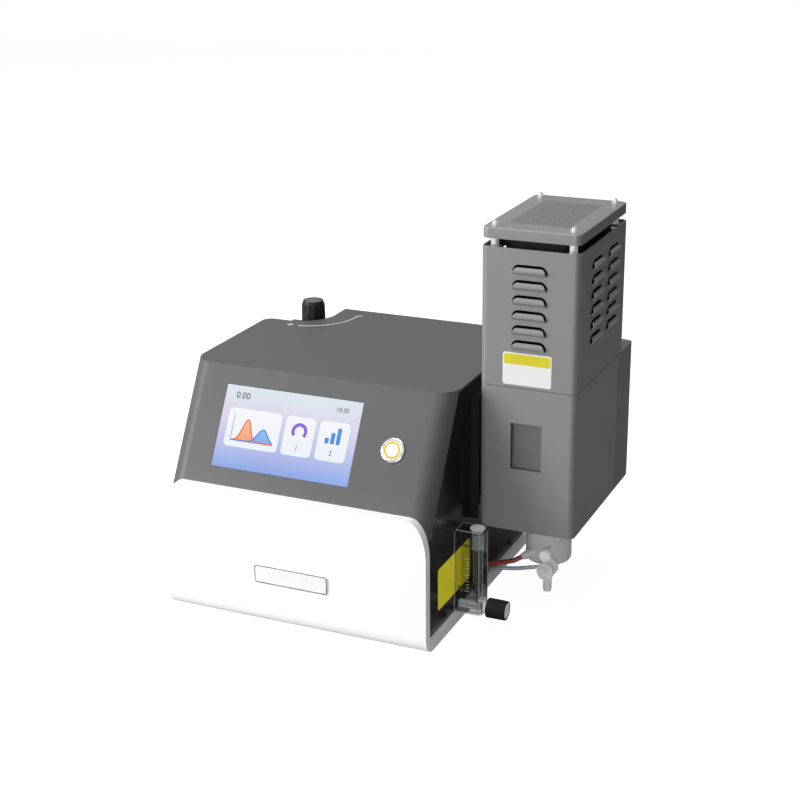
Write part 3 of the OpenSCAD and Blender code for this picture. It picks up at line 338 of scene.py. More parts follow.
def flat_uv(obj, corner, across, up):
    """UV that runs from a corner along two edge vectors, given in metres."""
    mesh = obj.data
    co = np.zeros(len(mesh.vertices) * 3)
    mesh.vertices.foreach_get("co", co)
    co = co.reshape(-1, 3) - corner
    uv = np.stack([co @ across / (across @ across), co @ up / (up @ up)], -1)
    index = np.zeros(len(mesh.loops), int)
    mesh.loops.foreach_get("vertex_index", index)
    layer = mesh.uv_layers.new(name="Face")
    layer.data.foreach_set("uv", uv[index].ravel())


# ---------- materials ----------


def add(tree, kind, values=None, **props):
    """A new node of this kind, with its properties, then its input values."""
    node = tree.nodes.new("ShaderNode" + kind)
    for key, value in props.items():
        setattr(node, key, value)
    fill(node, values or {})
    return node


def fill(node, values):
    """Sets the values of a node's inputs by their names or numbers."""
    for key, value in values.items():
        node.inputs[key].default_value = value


def wire(tree, *links):
    """Links each node's output to an input: (node, output, node, input)."""
    for source, output, target, entry in links:
        tree.links.new(source.outputs[output], target.inputs[entry])


def new_material(name):
    """An empty node material with its Principled shader."""
    material = bpy.data.materials.new(name)
    material.use_nodes = True
    return material, material.node_tree, material.node_tree.nodes["Principled BSDF"]


def noise(tree, scale, detail=2.0, stretch=(1, 1, 1)):
    """Noise on Object coordinates, in waves to the metre."""
    place = add(tree, "TexCoord")
    mapping = add(tree, "Mapping", {"Scale": stretch})
    texture = add(tree, "TexNoise", {"Scale": scale, "Detail": detail, "Roughness": 0.5})
    wire(tree, (place, "Object", mapping, "Vector"), (mapping, "Vector", texture, "Vector"))
    return texture


def spread(tree, texture, low, high):
    """Maps the middle of a noise, 0.3 to 0.7, to the range low to high."""
    node = add(tree, "MapRange", {"From Min": 0.3, "From Max": 0.7, "To Min": low, "To Max": high})
    wire(tree, (texture, "Fac", node, "Value"))
    return node


def mix_colour(tree, value, first, second):
    """A colour between two, by the value of an output socket."""
    node = add(tree, "Mix", {"A": (*first, 1), "B": (*second, 1)}, data_type="RGBA")
    tree.links.new(value, node.inputs["Factor"])
    return node


def relief(tree, shader, texture, depth, edge=0.0):
    """Bump of a depth in millimetres, over edges rounded by edge."""
    bump = add(tree, "Bump", {"Strength": 1.0, "Distance": depth * MM})
    wire(tree, (texture, "Fac", bump, "Height"))
    if edge:
        bevel = add(tree, "Bevel", {"Radius": edge * MM}, samples=4)
        wire(tree, (bevel, "Normal", bump, "Normal"))
    wire(tree, (bump, "Normal", shader, "Normal"))


def finish(name, colour, rough, mottle, patch, grain, depth, metal=0.0, stretch=(1, 1, 1),
           rough_vary=0.05, edge=0.0, coat=0.0, specular=0.5, transmission=0.0, ior=1.5,
           soft=0.0, lit=0.0):
    """A finish with broad patches of slightly other tone and gloss and a fine
    grain in relief.

    The roughness is rough, more or less rough_vary. mottle is the share by
    which the tone differs, patch and grain are waves to the metre, depth and
    edge are millimetres, lit is the strength of a weak glow of its own colour;
    on a part that is no lamp this glow is painted light.
    """
    material, tree, shader = new_material(name)
    fill(shader, {
        "Metallic": metal, "Coat Weight": coat, "Coat Roughness": 0.08,
        "Specular IOR Level": specular, "Transmission Weight": transmission, "IOR": ior,
        "Subsurface Weight": soft, "Subsurface Radius": (0.004, 0.004, 0.004),
    })
    colour = np.array(colour[:3])
    patches = noise(tree, patch, 4.0, stretch)
    tone = spread(tree, patches, 0.0, 1.0)
    darker, lighter = (tuple(np.clip(colour * f, 0, 1)) for f in (1 - mottle, 1 + mottle))
    tinted = mix_colour(tree, tone.outputs["Result"], darker, lighter)
    wire(tree, (tinted, "Result", shader, "Base Color"))
    # painted light: the part glows in its own colour beyond what the lamps give it
    if lit:
        wire(tree, (tinted, "Result", shader, "Emission Color"))
        fill(shader, {"Emission Strength": lit})
    fine = noise(tree, grain, 2.0, stretch)
    gloss = spread(tree, patches, max(rough - rough_vary, 0.02), min(rough + rough_vary, 1.0))
    wire(tree, (gloss, "Result", shader, "Roughness"))
    relief(tree, shader, fine, depth, edge)
    return material


def glow(name, top, bottom, low, high, strength=1.0):
    """Part of the lit picture: its colour runs from bottom to top between two
    heights of the frame, in metres, behind a thin gloss."""
    material, tree, shader = new_material(name)
    fill(shader, {
        "Base Color": (0.005, 0.005, 0.006, 1), "Roughness": 0.12, "Specular IOR Level": 0.25,
        "Emission Strength": strength,
    })
    place = add(tree, "TexCoord")
    split = add(tree, "SeparateXYZ")
    height = add(tree, "MapRange", {"From Min": low, "From Max": high})
    tone = mix_colour(tree, height.outputs["Result"], bottom, top)
    wire(tree, (place, "Object", split, "Vector"), (split, "Z", height, "Value"),
         (tone, "Result", shader, "Emission Color"))
    return material


# ---------- sizes and colours ----------


def colour(name, description, rgb):
    """A colour that the sidebar can change, given in display values."""
    return FloatVectorProperty(
        name=name, description=description, default=linear(*rgb),
        subtype="COLOR", size=3, min=0, max=1,
    )


def length(name, description, mm, low, high):
    """A length that the sidebar can change, given in millimetres."""
    return FloatProperty(
        name=name, description=description, default=mm * MM, min=low * MM, max=high * MM,
        precision=4, unit="LENGTH",
    )


def amount(name, description, value, low, high):
    """A plain number that the sidebar can change."""
    return FloatProperty(name=name, description=description, default=value, min=low, max=high)


class CaseLook(bpy.types.PropertyGroup):
    white: colour("White coat", "Coat of the front panel and base plate", (250, 250, 251))
    cover: colour("Cover coat", "Coat of the sloped cover", (96, 96, 97))
    panel: colour("Panel coat", "Gloss coat of the side and rear panels", (42, 42, 43))
    steel: colour("Steel", "Bright steel of nuts, studs and fittings", (222, 222, 224))
    label: colour("Yellow film", "Film of the label on the side panel", (226, 214, 34))


class ConsoleLook(bpy.types.PropertyGroup):
    sky_top: colour("Display top", "Colour of the display at its top edge", (221, 235, 241))
    sky_middle: colour("Display middle", "Colour of the display in its middle", (222, 216, 236))
    sky_foot: colour("Display foot", "Colour of the display at its lower edge", (138, 170, 234))
    ring: colour("Button ring", "Lit ring of the start button", (228, 202, 48))
    print_white: colour("Print", "White print on the cover", (246, 246, 246))
    knob: colour("Knobs", "Black plastic of the knobs", (38, 39, 40))


class ChimneyLook(bpy.types.PropertyGroup):
    coat: colour("Chimney coat", "Gloss coat of the chimney's sheets", (141, 141, 142))
    # painted highlight: a lighter tone on the right wall's louvers in place of the light their
    # faces catch
    louver: colour("Side louvers", "Painted highlight on the right wall's louvers", (186, 186, 187))
    rear: colour("Rear coat", "Coat of the chimney's rear part", (120, 120, 121))
    hole: length("Hole", "Diameter of the cap's fine perforation", 2.1, 1.0, 3.0)
    hole_pitch: length("Hole pitch", "Distance from hole to hole", 3.07, 2.4, 5.0)
    cap_edge: length("Cap edge", "Radius of the cap's upper edge", 1.2, 0.4, 3.0)


class BurnerLook(bpy.types.PropertyGroup):
    chamber: colour("Mixing chamber", "Frosted plastic of the mixing chamber", (228, 230, 232))
    gas_hose: colour("Gas hose", "Red rubber of the gas hose", (186, 84, 68))
    air_hose: colour("Air hose", "Clear plastic of the air hose", (226, 229, 232))
    hose_steps: IntProperty(
        name="Hose steps", description="Rings for each stretch of a hose",
        default=14, min=4, max=40,
    )


class StageLook(bpy.types.PropertyGroup):
    key: amount("Key light", "Power of the large light at the front left, in watts", 55.0, 0, 500)
    fill: amount("Fill light", "Power of the weak light in front, in watts", 12.5, 0, 500)
    top: amount("Top light", "Power of the overhead light, in watts", 24.5, 0, 500)
    side: amount("Side light", "Power of the weak light at the right, in watts", 0.7, 0, 500)
    ambient: amount("Ambient", "Even light of the room on rough surfaces", 0.086, 0, 2)
    mirror: amount("Mirrored room", "Brightness of the room in glossy surfaces", 0.8, 0, 2)
    mirror_low: amount("Mirrored room, dark side", "The same at the room's right", 0.11, 0, 2)
    lens: amount("Lens", "Focal length on a 36 mm square picture", 72.31, 20, 200)


GROUPS = {
    "photometer_case": CaseLook,
    "photometer_console": ConsoleLook,
    "photometer_chimney": ChimneyLook,
    "photometer_burner": BurnerLook,
    "photometer_stage": StageLook,
}


# ---------- finishes of the CAD nodes ----------


def coats(scene):
    case, chimney = scene.photometer_case, scene.photometer_chimney
    # of the chimney's sheets: mottle, patch, grain and depth, and the rest
    sheet, bent = (0.012, 12, 1100, 0.004), dict(edge=0.4, rough_vary=0.015)
    return (
        # lit: painted light that brightens the white front beyond what the lamps give
        ("white powder coat", case.white, (0.34, 0.006, 9, 1400, 0.008), dict(edge=0.5, lit=0.09),
         "front_shell"),
        ("grey cover coat", case.cover, (0.38, 0.02, 14, 1900, 0.012),
         dict(edge=0.7, specular=0.2, rough_vary=0.02), "top_cover"),
        ("grey chimney coat", chimney.coat, (0.3, *sheet), bent, "burner_housing"),
        ("grey shield coat with painted louver highlight", chimney.coat, (0.3, *sheet), bent, "heat_shield"),
        ("grey rear coat", chimney.rear, (0.32, *sheet), bent,
         "housing_rear housing_floor shield_brackets"),
        ("black gloss coat", case.panel, (0.2, 0.08, 16, 600, 0.003), dict(edge=0.4),
         "side_panel_right side_panel_left rear_panel light_box optical_duct"),
        ("white plate", linear(250, 250, 250), (0.3, 0.01, 60, 1500, 0.003),
         dict(stretch=(0.03, 1, 1), edge=0.4), "nameplate"),
        ("bare aluminium", linear(196, 198, 202), (0.38, 0.06, 80, 1200, 0.005),
         dict(metal=1, stretch=(1, 0.05, 1), edge=0.3), "base_angles power_supply optics_block"),
        ("bright steel", case.steel, (0.18, 0.04, 120, 1500, 0.003),
         dict(metal=1, stretch=(1, 1, 0.1), edge=0.25),
         "button_nut gas_valve_nut window_clamp hose_fittings air_inlet "
         "board_pillars button_spring gas_stem valve_needle"),
        # lit: painted glint on the zinc studs and nuts
        ("bright zinc", case.steel, (0.26, 0.04, 120, 1500, 0.003),
         dict(metal=0.75, edge=0.25, lit=0.22), "cap_studs cap_nuts"),
        ("turned brass", linear(204, 170, 92), (0.26, 0.05, 120, 1500, 0.004),
         dict(metal=1, stretch=(1, 0.1, 1), edge=0.25), "gas_valve gas_inlet burner_head"),
        ("foot rubber", linear(38, 38, 39), (0.75, 0.12, 90, 1400, 0.03), dict(edge=0.6), "feet"),
        ("board laminate", linear(38, 104, 62), (0.4, 0.3, 260, 2600, 0.01),
         dict(stretch=(1, 1, 0.2)), "display_board main_board detector_board"),
        ("moulded black plastic", linear(34, 34, 35), (0.5, 0.08, 120, 2400, 0.012), dict(edge=0.3),
         "iec_inlet power_rocker"),
        ("knob plastic", scene.photometer_console.knob, (0.5, 0.06, 150, 2200, 0.008),
         dict(specular=0.22), "gas_knob valve_knob"),
        ("display glass", linear(24, 26, 32), (0.1, 0.05, 40, 300, 0.001), {}, "touch_screen"),
        ("smoked window", linear(124, 125, 126), (0.1, 0.05, 20, 60, 0.002),
         dict(specular=0.6, transmission=0.12, ior=1.3), "window_glass"),
        ("lens glass", linear(236, 244, 250), (0.03, 0.01, 60, 400, 0.001), dict(transmission=1),
         "optics_lens"),
        ("filter glass", linear(246, 176, 74), (0.05, 0.03, 60, 400, 0.001), dict(transmission=0.8),
         "colour_filters"),
        # lit: painted light on the yellow film, which sits in the side's shade
        ("yellow film", case.label, (0.34, 0.03, 45, 900, 0.006), dict(edge=0.2, lit=0.3),
         "side_label"),
        ("pale film", linear(240, 240, 238), (0.36, 0.015, 45, 900, 0.006), dict(edge=0.2),
         "shield_label"),
        ("white ceramic", linear(232, 228, 218), (0.3, 0.03, 120, 1800, 0.01), {}, "igniter"),
        # lit: painted light on the frosted chamber plastics, in place of the bright room seen
        # through them
        ("grey chamber plastic", scene.photometer_burner.chamber, (0.36, 0.04, 70, 500, 0.012),
         dict(edge=0.6, coat=0.6, transmission=0.28, ior=1.25, lit=0.06), "mixing_chamber"),
        ("pale chamber plastic", linear(244, 245, 246), (0.28, 0.04, 90, 700, 0.008),
         dict(edge=0.4, coat=0.6, transmission=0.15, ior=1.25, lit=0.1),
         "chamber_collar nebuliser drain_elbow"),
        # lit: painted light on the white caps in the chimney's shade
        ("white plastic", linear(248, 248, 248), (0.26, 0.015, 120, 1500, 0.006),
         dict(edge=0.4, lit=0.25), "nebuliser_cap valve_ferrule"),
        ("clear acrylic", linear(168, 171, 173), (0.03, 0.01, 30, 120, 0.002),
         dict(transmission=1, ior=1.03, coat=1.0, rough_vary=0.01), "flow_block"),
        # lit: painted light on the frosted plug
        ("frosted plug", linear(222, 224, 226), (0.18, 0.06, 200, 1200, 0.01),
         dict(transmission=0.25, ior=1.3, edge=0.3, lit=0.1), "flow_plug"),
        ("float plastic", linear(46, 46, 48), (0.3, 0.08, 260, 2400, 0.006), {}, "flow_float"),
    )


def worn(node):
    """The finish that a CAD node wears."""
    return NODES[node].material_slots[0].material


def wear(obj, material):
    """Puts one material on every slot of a CAD node's object."""
    if not obj.material_slots:
        obj.data.materials.append(material)
    for slot in obj.material_slots:
        slot.material = material


def lighten_louvers(material, tone):
    """Paints a highlight on the louvers: a lighter tone where Object x is past the shield's
    right wall, which only the faces of its louvers reach, in place of the light
    that these faces catch."""
    louver_reach = 2.9
    tree = material.node_tree
    base = tree.nodes["Principled BSDF"].inputs["Base Color"]
    coat = base.links[0].from_socket
    wall = at(in_case("heat_shield")[1][0] - louver_reach, 0, 0)[0]
    place = add(tree, "TexCoord")
    parts = add(tree, "SeparateXYZ")
    past = add(tree, "Math", {1: wall}, operation="GREATER_THAN")
    lighter = mix_colour(tree, past.outputs[0], tone, tone)
    wire(tree, (place, "Object", parts, "Vector"), (parts, "X", past, 0))
    tree.links.new(coat, lighter.inputs["A"])
    tree.links.new(lighter.outputs["Result"], base)


class PHOTOMETER_OT_finishes(bpy.types.Operator):
    """Give each CAD node its own procedural finish"""

    bl_idname = "photometer.finishes"
    bl_label = "Finishes"

    def execute(self, context):
        for name, tone, plain, more, nodes in coats(context.scene):
            material = finish(name, tone, *plain, **more)
            for node in nodes.split():
                wear(NODES[node], material)
        # painted highlight on the louvers of the shield's right wall
        lighten_louvers(worn("heat_shield"), context.scene.photometer_chimney.louver)
        return {"FINISHED"}


# ---------- display ----------

# Left, foot, right and top on the sloped face, and the height over it
SCREEN = (47.2, 18.7, 201.0, 104.1)
CARDS = ((55.5, 41.0, 116.5, 81.0), (121.0, 41.0, 154.5, 81.0), (159.0, 41.0, 192.5, 81.0))
GLASS = -0.2
BRIGHTNESS = 0.97


def picture_material(look):
    """The lit background: four tones from the foot to the top of its own UV,
    a little rosier in the middle of its width."""
    material, tree, shader = new_material("display picture")
    fill(shader, {
        "Base Color": (0.004, 0.004, 0.005, 1), "Roughness": 0.1, "Specular IOR Level": 0.3,
        "Emission Strength": BRIGHTNESS,
    })
    uv = add(tree, "UVMap", uv_map="Face")
    split = add(tree, "SeparateXYZ")
    ramp = add(tree, "ValToRGB")
    stops = ramp.color_ramp.elements
    stops[0].color = (*look.sky_foot, 1)
    stops[1].color = (*look.sky_top, 1)
    stops.new(0.62).color = (*look.sky_middle, 1)
    lower = [0.62 * a + 0.38 * b for a, b in zip(look.sky_foot, look.sky_middle)]
    stops.new(0.22).color = (*lower, 1)
    waves = spread(tree, noise(tree, 14.0, 1.0), 0.0, 0.8)
    tinted = add(tree, "Mix", data_type="RGBA", blend_type="MULTIPLY")
    tinted.inputs["B"].default_value = (1.0, 0.93, 0.97, 1)
    wire(tree, (uv, "UV", split, "Vector"), (split, "Y", ramp, "Fac"),
         (ramp, "Color", tinted, "A"), (waves, "Result", tinted, "Factor"),
         (tinted, "Result", shader, "Emission Color"))
    return material


def curve_path(card, height, centre, width, steps=60):
    """A bell: its height falls off with the square of the distance from its
    centre, drawn along the foot of a card."""
    x = np.linspace(card[0] + 8, card[2] - 6, steps)
    y = card[1] + 7 + height * np.exp(-(((x - centre) / width) ** 2))
    return np.stack([x, y], -1)


class PHOTOMETER_OT_screen(bpy.types.Operator):
    """Light the display with a plain generic picture of cards and figures"""

    bl_idname = "photometer.screen"
    bl_label = "Display picture"

    def execute(self, context):
        x0, s0, x1, s1 = SCREEN
        first, second, third = CARDS
        outline = rounded(*SCREEN, 0.6, 3)
        picture = Shell().prism(outline, on_slope, GLASS - 0.05, GLASS + 0.05)
        material = picture_material(context.scene.photometer_console)
        obj = build("display_picture", picture, material, slot="screen_glass")
        corner = on_slope(x0, s0, 0.0)
        flat_uv(obj, corner, on_slope(x1, s0, 0.0) - corner, on_slope(x0, s1, 0.0) - corner)
        low, high = [on_slope(x0, first[k], 0.0)[2] for k in (1, 3)]

        def piece(name, shell, top, foot):
            tones = linear(*top), linear(*foot)
            material = glow(name.replace("_", " "), *tones, low, high, BRIGHTNESS)
            build(name, shell, material, slot="screen_glass")

        def layer(n):
            """Place, foot and top of the film with this number over the picture."""
            return on_slope, GLASS + 0.05 + 0.03 * n, GLASS + 0.08 + 0.03 * n

        shade, cards = Shell(), Shell()
        for a, b, c, d in CARDS:
            shade.prism(rounded(a - 1.2, b - 1.8, c + 1.2, d + 0.7, 5.5), *layer(0))
            cards.prism(rounded(a, b, c, d, 4.5), *layer(1))
        piece("display_card_shades", shade, (208, 216, 232), (176, 194, 230))
        piece("display_cards", cards, (247, 248, 252), (238, 242, 251))

        left, foot = first[0] + 7, first[1] + 6.6
        axes = Shell()
        axes.ribbon(np.array([[left, first[3] - 7], [left, foot]]), 0.6, *layer(2))
        axes.ribbon(np.array([[left - 0.3, foot], [first[2] - 5, foot]]), 0.6, *layer(2))
        piece("display_axes", axes, (96, 104, 128), (96, 104, 128))

        curves = [curve_path(first, 22, 79, 6.5), curve_path(first, 14, 98, 8.0)]
        tints = (("warm", (250, 206, 178), (244, 150, 98)),
                 ("cool", (176, 208, 250), (120, 166, 238)))
        for k, (path, (tint, top, low_tone)) in enumerate(zip(curves, tints)):
            ends = [[path[end, 0], first[1] + 6.9] for end in (-1, 0)]
            area = Shell().prism(np.concatenate([path, ends]), *layer(2 + k))
            piece(f"display_{tint}_area", area, top, low_tone)
        warm, cool = [Shell().ribbon(path, 1.5, *layer(4)) for path in curves]
        bar_foot, bar_width = 58.5, 4.4
        for k, bar in enumerate((5.0, 10.0, 14.5)):
            x = third[0] + 8.0 + 6.2 * k
            bar_top = bar_foot + 1.15 * bar
            cool.prism(rounded(x, bar_foot, x + bar_width, bar_top, 0.8, 3), *layer(2))
        piece("display_warm_curve", warm, (240, 128, 62), (232, 106, 44))
        piece("display_cool_marks", cool, (84, 158, 236), (60, 124, 222))
        dial_x, bars_x = (second[0] + second[2]) / 2, (third[0] + third[2]) / 2
        dial = Shell().ribbon(ring_path(dial_x, 66.0, 7.0, -40, 220, 40), 3.6, *layer(2))
        piece("display_dial", dial, (146, 112, 232), (112, 82, 214))

        figures = (("0.00", 6.6, (67.5, 94.0)), ("10:30", 4.6, (180.0, 93.5)),
                   ("1", 4.8, (dial_x, 48.8)), ("2", 4.8, (bars_x, 48.8)))
        figures = join(*(numerals(*row, *layer(2)) for row in figures))
        piece("display_figures", figures, (28, 32, 46), (28, 32, 46))
        return {"FINISHED"}


# ---------- start button ----------

# Its axis on the sloped face
BUTTON = (241.5, 61.5)


class PHOTOMETER_OT_button(bpy.types.Operator):
    """Turn the start button's chromed collar, its lens and the lit ring"""

    bl_idname = "photometer.button"
    bl_label = "Start button"

    def execute(self, context):
        look = context.scene.photometer_console
        place = slope_axis(*BUTTON)
        turn = np.linspace(0, math.pi / 2, 7)
        crown = np.stack([10.9 + 1.85 * np.cos(turn), 0.35 + 1.45 * np.sin(turn)], -1)
        lip = np.stack([9.9 - 0.85 * np.sin(turn), 1.05 + 0.75 * np.cos(turn)], -1)
        profile = np.concatenate([
            [[4.6, -17.0], [4.6, -24.0], [11.0, -24.0], [11.0, 0.0], [12.75, 0.0]],
            crown, lip, [[9.05, -17.0], [4.6, -17.0]],
        ])
        chrome = finish("collar chrome", linear(232, 233, 236), 0.09, 0.02, 150, 500, 0.002,
                        metal=1, rough_vary=0.03)
        build("button_collar_turned", Shell().lathe(profile, place, 128), chrome,
              slot="collar_chrome", replaces=("button_collar",))

        dome = np.stack([8.93 - 0.9 * (1 - np.cos(turn)), 1.8 + 0.75 * np.sin(turn)], -1)
        head = np.concatenate([
            [[0.0, -22.0], [4.54, -22.0], [4.54, -3.4], [8.93, -3.4]], dome,
            [[7.6, 2.58], [5.0, 2.6], [0.0, 2.6]],
        ])
        lens = finish("button lens", linear(252, 252, 246), 0.22, 0.01, 80, 900, 0.004, coat=0.4,
                      lit=0.35)
        build("button_lens_head", Shell().lathe(head, place, 96), lens, body="start_button",
              slot="button_lens", replaces=("ignition_button",))

        height = on_slope(*BUTTON, 0.0)[2]
        rings = (
            ("ring", look.ring, linear(222, 178, 40), 7.4, 1.7, 2.4, 2.64),
            ("halo", linear(255, 246, 150), linear(255, 240, 130), 8.55, 0.75, 2.2, 2.6),
        )
        for name, top, bottom, radius, width, low, high in rings:
            lit = glow(f"button {name} glow", top, bottom, height - 0.01, height + 0.01)
            ring = Shell().ribbon(circle(0.0, 0.0, radius), width, place, low, high, closed=True)
            build(f"button_{name}", ring, lit, body="start_button", slot="button_lens")
        return {"FINISHED"}


# ---------- knobs ----------


def facets(count, depth, rows):
    """Radius factor of a grip: count shallow flats on the given rows."""
    def factor(angle, row):
        wave = 1 - depth * (0.5 - 0.5 * np.cos(count * angle))
        return np.where((row >= rows[0]) & (row <= rows[1]), wave, 1.0)
    return factor


class PHOTOMETER_OT_gas_knob(bpy.types.Operator):
    """Turn the gas knob with its faint flats, bevelled edge and dished top, and a painted sheen on
    the top
    """

    bl_idname = "photometer.gas_knob"
    bl_label = "Gas knob"

    def execute(self, context):
        low, high = in_case("gas_knob")
        middle = middle_of("gas_knob")
        place = around((middle[0], middle[1], low[2]), (0, 0, 1))
        r, h = (high[0] - low[0]) / 2, high[2] - low[2]
        profile = np.array([
            [0, 4.0], [8.8, 4.0], [8.8, 0.0], [r - 0.5, 0.0], [r, 0.5], [r, 1.6],
            [r - 0.2, h * 0.5], [r - 0.45, h - 4.6], [r - 0.6, h - 4.3], [r - 1.1, h - 4.2],
            [r - 1.15, h - 3.9], [r - 1.9, h - 0.6], [r - 2.15, h - 0.15], [r - 2.6, h],
            [r - 3.1, h], [r - 3.5, h - 0.3], [0, h - 0.4],
        ])
        shell = Shell().lathe(profile, place, 192, facets(12, 0.035, (4, 7)))
        build("gas_knob_turned", shell, worn("gas_knob"), body="gas_control", slot="gloss_black",
              replaces=("gas_knob",), crease=40)
        # painted reflection: a lighter grey disc in the knob's top stands in for the light that the
        # top face reflects
        painted_top_sheen = np.array([
            [0, h - 1.0], [r - 3.9, h - 1.0], [r - 3.9, h - 0.36], [r - 4.2, h - 0.3],
            [0, h - 0.3],
        ])
        painted_sheen = finish("painted knob top sheen", linear(104, 105, 107), 0.42, 0.05, 150, 2200, 0.006)
        build("gas_knob_painted_top_sheen", Shell().lathe(painted_top_sheen, place, 96), painted_sheen, body="gas_control",
              slot="gloss_black")
        return {"FINISHED"}


class PHOTOMETER_OT_valve_knob(bpy.types.Operator):
    """Turn the needle valve's knob, with fine flutes and a pale end disc"""

    bl_idname = "photometer.valve_knob"
    bl_label = "Needle valve knob"

    def execute(self, context):
        low, high = in_case("valve_knob")
        middle = middle_of("valve_knob")
        place = around((low[0], middle[1], middle[2]), (1, 0, 0))
        r, h = (high[2] - low[2]) / 2, high[0] - low[0]
        profile = np.array([
            [0, 1.2], [6.5, 1.2], [6.5, 0], [r - 0.9, 0], [r - 0.25, 0.3], [r, 1.0],
            [r, 1.4], [r - 0.1, h * 0.5], [r - 0.2, h - 1.4], [r - 0.3, h - 0.9],
            [r - 0.8, h - 0.25], [r - 1.3, h], [r - 1.9, h], [r - 2.1, h - 0.9], [0, h - 0.9],
        ])
        grip = Shell().lathe(profile, place, 288, facets(48, 0.02, (6, 8)))
        build("valve_knob_turned", grip, worn("valve_knob"), body="flow_control",
              slot="black_plastic", replaces=("valve_knob",), crease=40)
        disc = np.array([
            [0, h - 1.4], [r - 2.3, h - 1.4], [r - 2.3, h - 0.45], [r - 2.6, h - 0.2],
            [0, h - 0.15],
        ])
        # lit: painted light, so that the pale disc looks bright in the side's shade
        pale = finish("pale end disc", linear(246, 246, 247), 0.3, 0.05, 200, 1600, 0.006, lit=0.14)
        build("valve_knob_disc", Shell().lathe(disc, place, 64), pale, body="flow_control",
              slot="pale_plastic")
        return {"FINISHED"}


# ---------- flow meter ----------


def block_lines(rings, corners, width, half, low, high):
    """Lines along a block's edges: a closed ribbon for each outline and its
    height, and a thin post from low to high at each corner."""
    lines = Shell()
    for outline, z in rings:
        lines.ribbon(outline, width, at, z - half, z + half, closed=True)
    section = np.array([[half, 0], [0, half], [-half, 0], [0, -half]])
    for corner in corners:
        lines.prism(section + corner, at, low, high)
    return lines


def pipe(outer, inner, low, high):
    """Closed profile of a pipe for a lathe."""
    return np.array([[outer, low], [outer, high], [inner, high], [inner, low], [outer, low]])


class PHOTOMETER_OT_flow_meter(bpy.types.Operator):
    """Paint highlights and dark lines along the clear block's bevels, mark its scale and frost its
    tube
    """

    bl_idname = "photometer.flow_meter"
    bl_label = "Flow meter details"

    def execute(self, context):
        low, high = in_case("flow_block")
        (x0, y0, z0), (x1, y1, z1) = low, high
        cut, top_cut = 3.0, 2.0
        shoulder = z1 - top_cut

        # outline of the block as (x, y), the bevelled corners away from the panel
        plan = np.array([
            [x0, y0], [x1 - cut, y0], [x1, y0 + cut], [x1, y1 - cut], [x1 - cut, y1], [x0, y1],
        ])
        middle = middle_of("flow_block")[:2]
        inner = middle + (plan - middle) * 0.985
        inset = 0.9 * top_cut
        narrow = np.clip(inner, [x0 + inset, y0], [x1 - inset, y1])
        # painted highlight: light ribbons along the block's edges stand in for the light that its
        # bevels catch
        lines = block_lines([(narrow, z1 - 0.45), (inner, z0 + 0.3)], inner[:4], 0.55, 0.28,
                            z0 + 1.0, shoulder - 0.3)
        bright = finish("painted bevel highlight", linear(232, 234, 236), 0.14, 0.06, 260, 900, 0.004,
                        coat=1.0, transmission=0.12, ior=1.1)
        build("flow_block_bevel_highlights", lines, bright, slot="clear_acrylic")

        # painted shade: dark lines inside the bevels and round the bore of the foot, in place of
        # the dark refraction lines that a polished edge shows
        within = middle + (plan - middle) * 0.9
        heights = (shoulder - 1.2, z0 + 2.2, z0 + 9.4)
        shades = block_lines([(within, z) for z in heights], within[:4], 0.5, 0.25,
                             z0 + 2.6, shoulder - 1.6)
        painted_shade_finish = finish("painted shade inside acrylic", linear(84, 86, 87), 0.2, 0.05, 260, 900, 0.003,
                      coat=0.6, transmission=0.2, ior=1.1)
        build("flow_block_painted_shade", shades, painted_shade_finish, slot="clear_acrylic")

        # sleeve of the needle's seat along the foot
        needle = middle_of("valve_needle")
        seat = np.array([x0 + 2.5, needle[1], needle[2]])
        reach = x1 - cut - 0.8 - seat[0]
        sleeve = Shell().lathe(pipe(4.4, 4.0, 0, reach), around(seat, (1, 0, 0)), 64)
        # lit: painted light, the sleeve glows weakly
        cloudy = finish("needle sleeve", linear(214, 216, 218), 0.24, 0.05, 200, 900, 0.004,
                        coat=0.8, transmission=0.45, ior=1.3, lit=0.12)
        build("flow_sleeve", sleeve, cloudy, slot="clear_acrylic")

        # glass tube along the bore, from its mouth at the foot up to the plug
        plug = middle_of("flow_plug")
        foot, head = z0 + 22.4, in_case("flow_plug")[0][2] - 0.3
        axis = around((plug[0], plug[1], 0.0), (0, 0, 1))
        tube = finish("tube glass", linear(214, 217, 219), 0.06, 0.03, 200, 700, 0.003,
                      transmission=0.8, ior=1.35, coat=0.6)
        build("flow_tube", Shell().lathe(pipe(4.15, 3.75, foot, head), axis, 64), tube,
              slot="clear_acrylic")

        # scale beside the tube: a longer mark at every fifth
        step, every = 3.6, 5
        face = on_front(y0), 0.0, 0.05
        scale = Shell()
        for k in range(11):
            z = foot + 3.0 + step * k
            reach = 5.6 if k % every == 0 else 3.6
            scale.ribbon(np.array([[plug[0] - 5.0 - reach, z], [plug[0] - 5.0, z]]), 0.55, *face)
        for n in (0, 5, 10):
            figure = numerals(str(n), 3.2, (plug[0] - 13.2, foot + 3.0 + step * n), *face)
            scale = join(scale, figure)
        ink = finish("scale print", linear(228, 229, 230), 0.45, 0.04, 260, 1800, 0.003)
        build("flow_scale", scale, ink, slot="clear_acrylic")
        return {"FINISHED"}


# ---------- inspection window ----------


